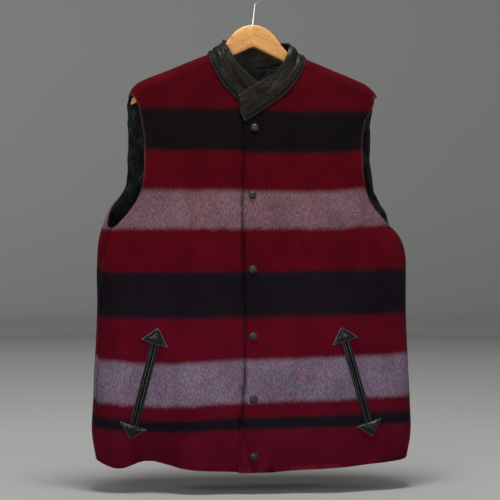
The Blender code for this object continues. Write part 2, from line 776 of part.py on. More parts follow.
def add_pocket_tab(pocket, face, top, collection):
    """The padded leather triangle at one end of a pocket, pointing away from its slit."""
    middle, down, away, length = pocket_frame(pocket)
    way = -1 if top else 1
    base = middle + down * way * length / 2
    steps = 7
    outer, inner = [], []
    for rise in np.linspace(0, 1, steps + 1):
        width = TAB_BASE * (1 - rise * 0.94) / 2
        for across in np.linspace(-1, 1, 7):
            spot = base + away * across * width + down * way * rise * TAB_REACH
            inside = min(rise, (1 - rise) * 1.1, 0.5 * (1 - abs(across)) * (1.15 - rise))
            puff = TAB_EDGE + TAB_PUFF * math.sin(min(inside / 0.30, 1) * math.pi / 2)
            outer.append(on_face(face, pocket.panel, spot[0], spot[1], puff)[0])
            inner.append(on_face(face, pocket.panel, spot[0], spot[1], 0.0)[0])
    quads = grid_quads(steps + 1, 7, (pocket.panel.side > 0) == top)
    name = f"pocket_{pocket.name}_tab_{'top' if top else 'low'}"
    add_wall(name, np.array(outer), np.array(inner), quads, "leather", collection)


def add_snaps(face, collection):
    """The domed caps of the snap fasteners, turned about their own axes."""
    radius, height = SNAP_RADIUS, SNAP_HEIGHT
    profile = [(0, height)]
    for turn in np.linspace(0.25, 1, 4) * math.pi / 2:
        profile.append((radius * math.sin(turn), 0.0012 + (height - 0.0012) * math.cos(turn)))
    profile += [(radius * 0.94, 0), (0, 0)]
    mesh = bpy.data.meshes.new("snap_cap")
    mesh.from_pydata([(x, 0, z) for x, z in profile], [(k, k + 1) for k in range(len(profile) - 1)], [])
    for number, drop in enumerate(SNAP_DROPS, 1):
        girth = front_girth(FRONT_LEFT, np.array([SNAP_PAST_CENTRE]), drop)
        normal = Vector(cloth_normal(FRONT_LEFT, girth, drop)[0])
        piece = add_object(f"snap_{number}", mesh.copy(), "snap_metal", collection)
        piece.location = on_face(face, FRONT_LEFT, SNAP_PAST_CENTRE, drop, 0.0)[0]
        piece.rotation_mode = "QUATERNION"
        piece.rotation_quaternion = normal.to_track_quat("Z", "Y")
        screw = piece.modifiers.new("turn", "SCREW")
        screw.steps = screw.render_steps = 16
        screw.use_merge_vertices = True
        screw.merge_threshold = 1e-5
        screw.use_normal_calculate = True


def wood_top(across):
    """Drop of the hanger's upper outline: a dome at the neck, then the shoulder's line
    under the cloth."""
    under_cloth = (WOOL / 2 + LINING + 5 * GAP) / math.cos(math.atan(SHOULDER_SLOPE))
    past = np.clip(across - DROOP_START, 0, DROOP_RADIUS * 0.9)
    droop = DROOP_RADIUS - np.sqrt(DROOP_RADIUS**2 - past**2)
    arm = shoulder_drop(across) + droop + under_cloth
    leaves = DOME_RADIUS * 0.8
    on_dome = np.minimum(across, leaves)
    dome = DOME_RADIUS - np.sqrt(DOME_RADIUS**2 - on_dome**2)
    dome = dome + (across - on_dome) * 0.8 / 0.6
    blend = 0.004
    return -blend * np.log(np.exp(-dome / blend) + np.exp(-arm / blend))


def add_wood(collection):
    """The hanger's body, a loft of sections with a rounded top and a flatter underside."""
    half = np.concatenate([np.linspace(0, 0.075, 9), np.linspace(0.075, 0.185, 6)[1:]])
    tip = WOOD_HALF_LENGTH - WOOD_TIP * (1 - np.sin(np.linspace(0, math.pi / 2, 6)))
    half = np.concatenate([half, tip])
    stations = np.concatenate([-half[:0:-1], half])
    turns = np.linspace(0, 2 * math.pi, 16, endpoint=False)
    points = []
    for x in stations:
        across = abs(x)
        top = float(wood_top(np.array(across)))
        bottom = NOTCH_DROP + UNDERSIDE_SLOPE * math.sqrt(across**2 + 0.004**2)
        to_tip = max(across - (WOOD_HALF_LENGTH - WOOD_TIP), 0) / WOOD_TIP
        cap = math.sqrt(max(1 - to_tip**2, 0.03))
        middle, reach = (top + bottom) / 2, (bottom - top) / 2
        top_power = 0.55 + 0.45 * float(ease((across - 0.050) / 0.030))
        middle += reach * (1 - cap) * 0.8
        for turn in turns:
            power = top_power if math.sin(turn) > 0 else 0.45
            y = WOOD_HALF_THICKNESS * cap * signed_power(math.cos(turn), power)
            z = reach * cap * signed_power(math.sin(turn), power)
            points.append((x, y, -HOOK_TO_WOOD - middle + z))
    count = len(turns)
    faces = [
        (row + k, row + (k + 1) % count, row + count + (k + 1) % count, row + count + k)
        for row in range(0, len(points) - count, count)
        for k in range(count)
    ]
    faces += [tuple(range(count)), tuple(range(len(points) - count, len(points)))]
    mesh = bpy.data.meshes.new("hanger_wood")
    mesh.from_pydata(points, [], faces)
    work = bmesh.new()
    work.from_mesh(mesh)
    bmesh.ops.recalc_face_normals(work, faces=work.faces)
    work.to_mesh(mesh)
    work.free()
    mesh.shade_smooth()
    mesh.set_sharp_from_angle(angle=math.radians(45))
    add_object("hanger_wood", mesh, "wood", collection)


def add_hook(collection):
    """The steel hook: a stem that leans a little, then a round crown with its mouth at the
    wearer's right."""
    ring = HOOK_INNER_RADIUS + WIRE_RADIUS
    centre = Vector((0, 0, -HOOK_INNER_RADIUS))
    join = math.radians(-58)
    onto_ring = centre + ring * Vector((math.cos(join), 0, math.sin(join)))
    heading = Vector((-math.sin(join), 0, math.cos(join)))
    foot = Vector((0, 0, -HOOK_TO_WOOD + GAP - float(wood_top(np.array(0.0)))))
    shoulder = Vector((STEM_LEAN, 0, centre.z - ring - 0.006))
    bend = onto_ring - heading * 0.009
    points = [foot.lerp(shoulder, k / 4) for k in range(4)]
    for t in np.linspace(0, 1, 6):
        points.append(shoulder * (1 - t) ** 2 + bend * 2 * t * (1 - t) + onto_ring * t**2)
    for turn in np.linspace(join, math.radians(208), 22)[1:]:
        points.append(centre + ring * Vector((math.cos(turn), 0, math.sin(turn))))
    curve = bpy.data.curves.new("hanger_hook", "CURVE")
    curve.dimensions = "3D"
    curve.bevel_depth = WIRE_RADIUS
    curve.bevel_resolution = 2
    curve.use_fill_caps = True
    spline = curve.splines.new("POLY")
    spline.points.add(len(points) - 1)
    for place, point in zip(spline.points, points):
        place.co = (*point, 1)
    add_object("hanger_hook", curve, "steel", collection)


def main():
    """Builds every piece in one collection."""
    for old in list(bpy.data.objects):
        bpy.data.objects.remove(old)
    vest = bpy.data.collections.new("blanket_vest")
    bpy.context.scene.collection.children.link(vest)

    rows = list(range(CREST_STEPS + NECK_STEPS + ARMHOLE_STEPS + BODY_STEPS + 1))
    half = WOOL / 2
    front_columns = list(range(FRONT_COLUMNS + 1))
    back_columns = list(range(BACK_HALF_COLUMNS + 1))
    faces = {}
    for name, panel in (("front_left", FRONT_LEFT), ("front_right", FRONT_RIGHT)):
        faces[panel] = add_front(
            name, panel, FRONT_COLUMNS, half, -half, rows, front_columns, "wool", vest
        )
    add_back("back", half, -half, rows, back_columns, "wool", vest)

    underarm = CREST_STEPS + NECK_STEPS + ARMHOLE_STEPS
    lining_rows = list(range(underarm + 2)) + list(range(underarm + 3, len(rows) - 1, 2))
    near = -half - 2 * GAP
    far = near - LINING
    for name, panel in (("lining_front_left", FRONT_LEFT), ("lining_front_right", FRONT_RIGHT)):
        picks = list(range(4, FRONT_COLUMNS + 1))
        add_front(name, panel, FRONT_COLUMNS, near, far, lining_rows, picks, "lining", vest)
    add_back("lining_back", near, far, lining_rows, back_columns, "lining", vest)

    add_collar(vest)
    add_neck_binding(vest)
    for pocket in POCKETS:
        for first in (True, False):
            add_pocket_lip(pocket, faces[pocket.panel], first, vest)
            add_pocket_tab(pocket, faces[pocket.panel], first, vest)
    add_snaps(faces[FRONT_LEFT], vest)
    add_wood(vest)
    add_hook(vest)


main()
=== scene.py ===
"""Dresses a striped blanket vest and its wooden coat hanger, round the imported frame.

Metres, +Z up. The front faces -Y and the wearer's left is +X. The origin is inside the crown
of the hanger's hook. Drop is how far a point lies below the top of the hanger's wood.
"""

from __future__ import annotations

import logging
import math
from collections.abc import Sequence
from dataclasses import dataclass
from enum import Enum

import bmesh
import bpy
import numpy as np
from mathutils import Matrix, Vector, noise
from mathutils.bvhtree import BVHTree
from mathutils.kdtree import KDTree

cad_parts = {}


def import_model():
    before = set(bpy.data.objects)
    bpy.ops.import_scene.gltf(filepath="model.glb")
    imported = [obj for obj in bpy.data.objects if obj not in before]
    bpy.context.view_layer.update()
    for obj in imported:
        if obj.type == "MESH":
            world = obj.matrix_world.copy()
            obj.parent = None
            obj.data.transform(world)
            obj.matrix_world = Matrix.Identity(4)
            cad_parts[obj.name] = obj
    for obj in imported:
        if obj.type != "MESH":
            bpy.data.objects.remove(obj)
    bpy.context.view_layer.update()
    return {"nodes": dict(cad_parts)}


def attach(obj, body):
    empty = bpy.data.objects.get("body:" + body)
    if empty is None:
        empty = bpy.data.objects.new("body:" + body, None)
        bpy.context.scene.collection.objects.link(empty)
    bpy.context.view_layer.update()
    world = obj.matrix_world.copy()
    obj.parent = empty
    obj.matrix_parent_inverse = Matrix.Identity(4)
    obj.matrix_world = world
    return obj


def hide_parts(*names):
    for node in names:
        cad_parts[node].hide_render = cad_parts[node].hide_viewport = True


LOG = logging.getLogger("vest")

WOOD_TOP_Z = -0.082
BODY = "root"

Colour = tuple[float, float, float, float]
Points = np.ndarray


def tone(red: int, green: int, blue: int) -> Colour:
    """A colour given in the usual 0 to 255 screen values, as the renderer wants it."""
    linear = []
    for value in (red, green, blue):
        share = value / 255
        linear.append(share / 12.92 if share <= 0.04045 else ((share + 0.055) / 1.055) ** 2.4)
    return (*linear, 1.0)


def ease(share: Points) -> Points:
    """A smooth step from 0 to 1 as share goes from 0 to 1."""
    share = np.clip(share, 0.0, 1.0)
    return share * share * (3.0 - 2.0 * share)


def bump(offset: Points, width: float) -> Points:
    """A soft ridge, 1 in its middle and near 0 at twice its width."""
    return np.exp(-((offset / width) ** 2))


def unit(vectors: Points) -> Points:
    """The vectors, each made one long."""
    return vectors / np.maximum(np.linalg.norm(vectors, axis=-1, keepdims=True), 1e-12)


def ripple(points: Points, size: tuple[float, float, float], seed: int) -> Points:
    """Smooth random heights from about -1 to 1.

    Args:
        points: where the heights are wanted.
        size: how long a ripple is along each axis, in metres.
        seed: which of the random patterns to take.

    Returns:
        One height for each point.
    """
    places = points / np.array(size) + seed * 17.3
    return np.array([noise.noise(Vector(place)) for place in places])


class Fold(Enum):
    """How the relief of a soft piece runs."""

    SMOOTH = "smooth"
    CREASED = "creased"


def crumple(points: Points, size: float, seed: int, fold: Fold) -> Points:
    """Heights of soft lumps, or of the thin ridges that crushed leather takes.

    Args:
        points: where the heights are wanted.
        size: how wide a lump is, in metres.
        seed: which of the random patterns to take.
        fold: whether the relief is rounded or has ridges.

    Returns:
        One height for each point, from about -1 to 1.
    """
    drift = np.stack([ripple(points, (size * 1.7,) * 3, seed + k) for k in (1, 2, 3)], axis=-1)
    height = ripple(points + drift * size * 0.45, (size,) * 3, seed)
    return height if fold is Fold.SMOOTH else 1 - 2.6 * np.abs(height)


class Tree:
    """Adds nodes to a material or a node group and joins them."""

    def __init__(self, tree: bpy.types.NodeTree) -> None:
        """Works on the given tree."""
        self.tree = tree

    def add(self, kind: str, **settings: object) -> bpy.types.Node:
        """A new node of a kind, such as Math, with its settings."""
        node = self.tree.nodes.new(f"ShaderNode{kind}")
        for name, value in settings.items():
            setattr(node, name, value)
        return node

    def feed(self, target: bpy.types.NodeSocket, value: object) -> None:
        """Links a socket to the target, or sets the target to a plain value."""
        if isinstance(value, bpy.types.NodeSocket):
            self.tree.links.new(value, target)
        else:
            target.default_value = value

    def maths(self, operation: str, *values: object, clamp: bool = False) -> bpy.types.NodeSocket:
        """The result of one sum on sockets or numbers."""
        node = self.add("Math", operation=operation, use_clamp=clamp)
        for target, value in zip(node.inputs, values):
            self.feed(target, value)
        return node.outputs[0]

    def stretch(self, place: bpy.types.NodeSocket, scale: Sequence[float]) -> bpy.types.NodeSocket:
        """The place with each axis multiplied by its own number."""
        node = self.add("VectorMath", operation="MULTIPLY")
        self.feed(node.inputs[0], place)
        node.inputs[1].default_value = scale
        return node.outputs[0]

    def shift(self, place: object, offset: object, share: float) -> bpy.types.NodeSocket:
        """The place moved by a share of an offset."""
        node = self.add("VectorMath", operation="MULTIPLY_ADD")
        self.feed(node.inputs[0], offset)
        node.inputs[1].default_value = (share,) * 3
        self.feed(node.inputs[2], place)
        return node.outputs[0]

    def cloud(
        self, place: object, scale: object, detail: float = 2.0, colour: bool = False
    ) -> bpy.types.NodeSocket:
        """Smooth noise at a place: a value, or three of them as a colour."""
        node = self.add("TexNoise")
        self.feed(node.inputs["Vector"], place)
        self.feed(node.inputs["Scale"], scale)
        node.inputs["Detail"].default_value = detail
        return node.outputs["Color" if colour else "Fac"]

    def span(
        self, value: object, low: object, high: object, to_low: object = 0.0, to_high: object = 1.0
    ) -> bpy.types.NodeSocket:
        """The value brought from one range to another on a smooth step."""
        node = self.add("MapRange", interpolation_type="SMOOTHSTEP")
        names = ("Value", "From Min", "From Max", "To Min", "To Max")
        for name, number in zip(names, (value, low, high, to_low, to_high)):
            self.feed(node.inputs[name], number)
        return node.outputs["Result"]

    def blend(self, share: object, first: object, second: object) -> bpy.types.NodeSocket:
        """A colour between two others."""
        node = self.add("Mix", data_type="RGBA")
        share_input, first_input, second_input = (node.inputs[k] for k in (0, 6, 7))
        self.feed(share_input, share)
        self.feed(first_input, first)
        self.feed(second_input, second)
        return node.outputs[2]

    def tint(self, colour: object, by: object) -> bpy.types.NodeSocket:
        """A colour multiplied by another, or by a number."""
        node = self.add("VectorMath", operation="MULTIPLY")
        self.feed(node.inputs[0], colour)
        self.feed(node.inputs[1], by)
        return node.outputs[0]

    def ramp(self, value: object, stops: Sequence[tuple[float, Colour]]) -> bpy.types.NodeSocket:
        """A colour looked up along a row of stops."""
        node = self.add("ValToRGB")
        self.feed(node.inputs["Fac"], value)
        colours = node.color_ramp
        while len(colours.elements) > 1:
            colours.elements.remove(colours.elements[-1])
        for number, (place, colour) in enumerate(stops):
            stop = colours.elements[0] if number == 0 else colours.elements.new(place)
            stop.position = place
            stop.color = colour
        return node.outputs["Color"]

    def raised(self, height: object, distance: float, strength: float) -> bpy.types.NodeSocket:
        """A normal tilted by a height."""
        node = self.add("Bump")
        node.inputs["Distance"].default_value = distance
        node.inputs["Strength"].default_value = strength
        self.feed(node.inputs["Height"], height)
        return node.outputs["Normal"]

    def place(self) -> bpy.types.NodeSocket:
        """Where the surface is, in metres."""
        return self.add("TexCoord").outputs["Object"]

    def attribute(self, name: str) -> bpy.types.NodeSocket:
        """A number that the mesh holds at each point."""
        return self.add("Attribute", attribute_name=name).outputs["Fac"]

    def group(self, tree: bpy.types.NodeTree, **values: object) -> bpy.types.Node:
        """A shared effect placed in this tree with its own values."""
        node = self.tree.nodes.new("ShaderNodeGroup")
        node.node_tree = tree
        for name, value in values.items():
            self.feed(node.inputs[name.replace("_", " ")], value)
        return node


def new_finish(name: str) -> tuple[bpy.types.Material, Tree, bpy.types.Node]:
    """An empty material, its nodes to work on, and its shader."""
    material = bpy.data.materials.new(name)
    material.use_nodes = True
    return material, Tree(material.node_tree), material.node_tree.nodes["Principled BSDF"]


class Effects:
    """The node groups that several finishes share, each built once."""

    def __init__(self) -> None:
        """Builds every group."""
        self.nap = self._nap()
        self.grain = self._grain()
        self.wear = self._wear()

    def _start(
        self, name: str, inputs: dict[str, float], outputs: Sequence[str]
    ) -> tuple[Tree, bpy.types.Node, bpy.types.Node]:
        """An empty group with a place, its named numbers and its named results."""
        tree = bpy.data.node_groups.new(name, "ShaderNodeTree")
        tree.interface.new_socket("Place", in_out="INPUT", socket_type="NodeSocketVector")
        for label, value in inputs.items():
            socket = tree.interface.new_socket(label, in_out="INPUT", socket_type="NodeSocketFloat")
            socket.default_value = value
        for label in outputs:
            tree.interface.new_socket(label, in_out="OUTPUT", socket_type="NodeSocketFloat")
        work = Tree(tree)
        return work, tree.nodes.new("NodeGroupInput"), tree.nodes.new("NodeGroupOutput")

    def _nap(self) -> bpy.types.NodeTree:
        """Brushed fibres that lie mostly downwards: streaks, tufts and their height."""
        work, source, result = self._start(
            "brushed_nap", {"Fineness": 700.0}, ("Streaks", "Tufts", "Height")
        )
        drift = work.cloud(source.outputs["Place"], 38.0, 1.0, colour=True)
        wavy = work.shift(source.outputs["Place"], drift, 0.010)
        long = work.stretch(wavy, (1.0, 1.0, 0.26))
        short = work.stretch(wavy, (1.0, 1.0, 0.50))
        streaks = work.cloud(long, source.outputs["Fineness"], 2.0)
        coarse = work.maths("MULTIPLY", source.outputs["Fineness"], 0.42)
        tufts = work.cloud(short, coarse, 3.0)
        both = work.maths("MULTIPLY_ADD", tufts, 0.8, streaks)
        work.feed(result.inputs["Streaks"], streaks)
        work.feed(result.inputs["Tufts"], tufts)
        work.feed(result.inputs["Height"], both)
        return work.tree

    def _grain(self) -> bpy.types.NodeTree:
        """Leather's pebbled grain and the fine creases between its folds."""
        work, source, result = self._start(
            "leather_grain", {"Scale": 900.0, "Creases": 0.5}, ("Height", "Creases")
        )
        pebbles = work.add("TexVoronoi", feature="SMOOTH_F1")
        work.feed(pebbles.inputs["Vector"], source.outputs["Place"])
        work.feed(pebbles.inputs["Scale"], source.outputs["Scale"])
        drift = work.cloud(source.outputs["Place"], 60.0, 2.0, colour=True)
        warped = work.shift(source.outputs["Place"], drift, 0.020)
        folds = work.cloud(warped, 95.0, 3.0)
        ridge = work.maths("ABSOLUTE", work.maths("SUBTRACT", folds, 0.5))
        creases = work.span(ridge, 0.0, 0.10, 1.0, 0.0)
        deep = work.maths("MULTIPLY", creases, source.outputs["Creases"])
        height = work.maths("MULTIPLY_ADD", pebbles.outputs["Distance"], 0.25, deep)
        work.feed(result.inputs["Height"], height)
        work.feed(result.inputs["Creases"], creases)
        return work.tree

    def _wear(self) -> bpy.types.NodeTree:
        """Smudges and fine scratches, as two masks."""
        work, source, result = self._start(
            "handling_wear", {"Scale": 60.0, "Scratches": 900.0}, ("Smudges", "Scratches")
        )
        smudges = work.cloud(source.outputs["Place"], source.outputs["Scale"], 4.0)
        thin = work.stretch(source.outputs["Place"], (1.0, 0.06, 0.25))
        lines = work.cloud(thin, source.outputs["Scratches"], 1.0)
        work.feed(result.inputs["Smudges"], work.span(smudges, 0.35, 0.68))
        work.feed(result.inputs["Scratches"], work.span(lines, 0.66, 0.76))
        return work.tree


@dataclass(frozen=True)
class Stripe:
    """One woven band, from its upper border down to the next one's."""

    top: float
    colour: Colour


@dataclass(frozen=True)
class BlanketWool:
    """Brushed wool with woven bands of red, black and a mauve of pale fibres over dark red."""

    effects: Effects
    reach_drop: float = 0.84
    border_soft: float = 0.0040
    border_streak: float = 0.0105
    border_tuft: float = 0.0060
    border_wander: float = 0.0045
    coarse_nap: float = 700.0
    fine_nap: float = 1800.0
    sheen: float = 0.035
    stripes: tuple[Stripe, ...] = (
        Stripe(0.0000, tone(71, 4, 14)),
        Stripe(0.1550, tone(17, 13, 14)),
        Stripe(0.2315, tone(76, 4, 15)),
        Stripe(0.3005, tone(108, 80, 88)),
        Stripe(0.3660, tone(81, 5, 19)),
        Stripe(0.4425, tone(23, 18, 25)),
        Stripe(0.5235, tone(85, 7, 25)),
        Stripe(0.5985, tone(113, 95, 114)),
        Stripe(0.6722, tone(85, 9, 26)),
        Stripe(0.6985, tone(22, 18, 26)),
        Stripe(0.7195, tone(86, 11, 29)),
    )
    mauve_bands: tuple[tuple[float, float], ...] = ((0.3005, 0.3660), (0.5985, 0.6722))
    ground: tuple[float, float, float] = (0.84, 0.60, 0.68)
    fibre: tuple[float, float, float] = (1.18, 1.42, 1.32)
    # Pale colour painted on the armhole edges: a painted highlight where the nap catches the light.
    fuzz_highlight: Colour = tone(140, 84, 92)

    def _share(self, drop: float) -> float:
        """Where a drop lies along the ramps."""
        return drop / self.reach_drop

    def _bands(self, work: Tree, drop: bpy.types.NodeSocket) -> tuple[object, object]:
        """The woven colour at a drop, and whether it is one of the mauve bands."""
        along = work.maths("DIVIDE", drop, self.reach_drop)
        stops = [(0.0, self.stripes[0].colour)]
        masks = [(0.0, (0.0, 0.0, 0.0, 1.0))]
        for above, below in zip(self.stripes, self.stripes[1:]):
            stops.append((self._share(below.top - self.border_soft), above.colour))
            stops.append((self._share(below.top + self.border_soft), below.colour))
        for start, end in self.mauve_bands:
            for border, before, after in ((start, 0.0, 1.0), (end, 1.0, 0.0)):
                masks.append((self._share(border - self.border_soft), (before,) * 3 + (1.0,)))
                masks.append((self._share(border + self.border_soft), (after,) * 3 + (1.0,)))
        return work.ramp(along, stops), work.ramp(along, masks)

    def make(self) -> bpy.types.Material:
        """The finished material."""
        material, work, shader = new_finish("striped_blanket_wool")
        nap = work.group(self.effects.nap, Place=work.place(), Fineness=self.coarse_nap).outputs
        fine = work.group(self.effects.nap, Place=work.place(), Fineness=self.fine_nap).outputs

        drop = work.attribute("stripe_drop")
        streaked = work.maths("SUBTRACT", 0.5, nap["Streaks"])
        drop = work.maths("MULTIPLY_ADD", streaked, self.border_streak, drop)
        tufted = work.maths("SUBTRACT", fine["Tufts"], 0.5)
        drop = work.maths("MULTIPLY_ADD", tufted, self.border_tuft, drop)
        wander = work.cloud(work.stretch(work.place(), (1.0, 1.0, 0.3)), 42.0, 1.0)
        wander = work.maths("SUBTRACT", wander, 0.5)
        drop = work.maths("MULTIPLY_ADD", wander, self.border_wander, drop)
        woven, mauve = self._bands(work, drop)

        mottle = work.maths("MULTIPLY_ADD", fine["Streaks"], 0.9, nap["Streaks"])
        fibres = work.blend(work.span(mottle, 0.72, 1.18), (*self.ground, 1.0), (*self.fibre, 1.0))
        cast = work.span(work.cloud(work.place(), 30.0, 2.0), 0.35, 0.65)
        cast = work.blend(cast, (1.05, 0.96, 0.98, 1.0), (0.96, 1.05, 1.01, 1.0))
        fibres = work.tint(fibres, cast)
        colour = work.tint(woven, work.blend(mauve, (1.0, 1.0, 1.0, 1.0), fibres))

        shade = work.span(nap["Height"], 0.55, 1.25, 0.84, 1.14)
        patches = work.cloud(work.stretch(work.place(), (1.0, 1.0, 0.55)), 24.0, 4.0)
        patches = work.span(patches, 0.3, 0.7, 0.84, 1.12)
        # Painted shade: the wool is darkened in the lap's shadow by the placket and along the side
        # seams.
        pressed = work.maths("MULTIPLY", work.attribute("edge_shade"), 0.86)
        pressed = work.maths("MULTIPLY", pressed, work.span(fine["Tufts"], 0.3, 0.6, 1.15, 0.75))
        shade = work.maths("MULTIPLY", shade, patches)
        shade = work.maths("MULTIPLY", shade, work.maths("SUBTRACT", 1.0, pressed))
        shaded = work.add("VectorMath", operation="SCALE")
        work.feed(shaded.inputs[0], colour)
        work.feed(shaded.inputs["Scale"], shade)
        # Painted highlight: the armhole edges are painted in the pale fuzz colour, as nap that
        # catches the light.
        edge = work.maths("POWER", work.attribute("edge_fuzz_highlight"), 2.0)
        edge = work.maths("MULTIPLY", edge, work.span(fine["Tufts"], 0.35, 0.65, 0.15, 0.50))
        work.feed(shader.inputs["Base Color"], work.blend(edge, shaded.outputs[0], self.fuzz_highlight))

        work.feed(shader.inputs["Roughness"], work.span(nap["Tufts"], 0.3, 0.7, 0.90, 1.0))
        shader.inputs["Specular IOR Level"].default_value = 0.04
        shader.inputs["Sheen Weight"].default_value = self.sheen
        shader.inputs["Sheen Roughness"].default_value = 0.35
        shader.inputs["Sheen Tint"].default_value = (1.0, 0.62, 0.70, 1.0)
        height = work.maths("MULTIPLY_ADD", fine["Height"], 0.35, nap["Height"])
        work.feed(shader.inputs["Normal"], work.raised(height, 0.0010, 0.5))
        return material


@dataclass(frozen=True)
class BlackLeather:
    """Black leather with a pebbled grain. Its creases and rubbed patches are painted paler, partly
    as wear and partly as painted highlight.
    """

    effects: Effects
    name: str
    base: Colour
    rubbed: Colour
    smooth: float
    dull: float
    grain: float = 900.0
    creases: float = 0.6
    depth: float = 0.0006
    gloss: float = 0.5
    edge_wear_and_highlight: Colour = tone(92, 90, 88)
    cast: Colour = (1.0, 1.0, 1.0, 1.0)

    def make(self) -> bpy.types.Material:
        """The finished material."""
        material, work, shader = new_finish(self.name)
        grain = work.group(
            self.effects.grain, Place=work.place(), Scale=self.grain, Creases=self.creases
        ).outputs
        wear = work.group(self.effects.wear, Place=work.place(), Scale=48.0).outputs
        # Painted highlight and wear: smudged patches and the creases are painted in the paler rubbed
        # colour.
        rubbed = work.maths("MULTIPLY", wear["Smudges"], 0.55)
        rubbed = work.maths("MULTIPLY_ADD", grain["Creases"], 0.25, rubbed, clamp=True)
        colour = work.blend(rubbed, self.base, self.rubbed)
        # A pale line painted along the marked edges, partly wear and partly painted highlight;
        # inside the collar's back the mark is painted light.
        edge = work.attribute("edge_wear_and_painted_light")
        edge = work.maths("MULTIPLY", edge, work.span(wear["Smudges"], 0.0, 1.0, 0.45, 0.9))
        work.feed(shader.inputs["Base Color"], work.blend(edge, colour, self.edge_wear_and_highlight))
        rough = work.span(wear["Smudges"], 0.0, 1.0, self.dull, self.smooth)
        work.feed(shader.inputs["Roughness"], rough)
        shader.inputs["Specular IOR Level"].default_value = self.gloss
        shader.inputs["Specular Tint"].default_value = self.cast
        work.feed(shader.inputs["Normal"], work.raised(grain["Height"], self.depth, 0.6))
        return material


@dataclass(frozen=True)
class QuiltedSatin:
    """Black satin lining, woven in fine slanting lines, with painted sheen in smudged patches and
    painted shade in its creases.
    """

    effects: Effects
    base: Colour = tone(15, 16, 16)
    shine: Colour = tone(25, 27, 28)

    def make(self) -> bpy.types.Material:
        """The finished material."""
        material, work, shader = new_finish("quilted_black_satin")
        wear = work.group(self.effects.wear, Place=work.place(), Scale=90.0).outputs
        weave = work.add("TexWave", wave_type="BANDS", bands_direction="DIAGONAL")
        work.feed(weave.inputs["Vector"], work.place())
        weave.inputs["Scale"].default_value = 420.0
        weave.inputs["Distortion"].default_value = 0.6
        puckers = work.cloud(work.stretch(work.place(), (1.0, 1.0, 0.55)), 130.0, 2.0)
        slanted = work.add("VectorRotate", rotation_type="Y_AXIS")
        work.feed(slanted.inputs["Vector"], work.place())
        slanted.inputs["Angle"].default_value = math.radians(38)
        slanted = work.stretch(slanted.outputs[0], (0.20, 0.30, 0.62))
        creases = work.group(self.effects.grain, Place=slanted, Creases=1.0).outputs["Creases"]
        # Painted sheen: smudged patches are painted in the paler shine colour.
        share = work.maths("MULTIPLY", wear["Smudges"], 0.6)
        colour = work.blend(share, self.base, self.shine)
        # Painted shade: the creases are painted darker.
        colour = work.blend(work.maths("MULTIPLY", creases, 0.45), colour, tone(4, 4, 4))
        work.feed(shader.inputs["Base Color"], colour)
        work.feed(shader.inputs["Roughness"], work.span(puckers, 0.3, 0.7, 0.34, 0.52))
        shader.inputs["Specular IOR Level"].default_value = 0.26
        shader.inputs["Sheen Weight"].default_value = 0.04
        height = work.maths("MULTIPLY_ADD", weave.outputs["Fac"], 0.08, puckers)
        height = work.maths("MULTIPLY_ADD", creases, -0.5, height)
        work.feed(shader.inputs["Normal"], work.raised(height, 0.0018, 0.45))
        return material


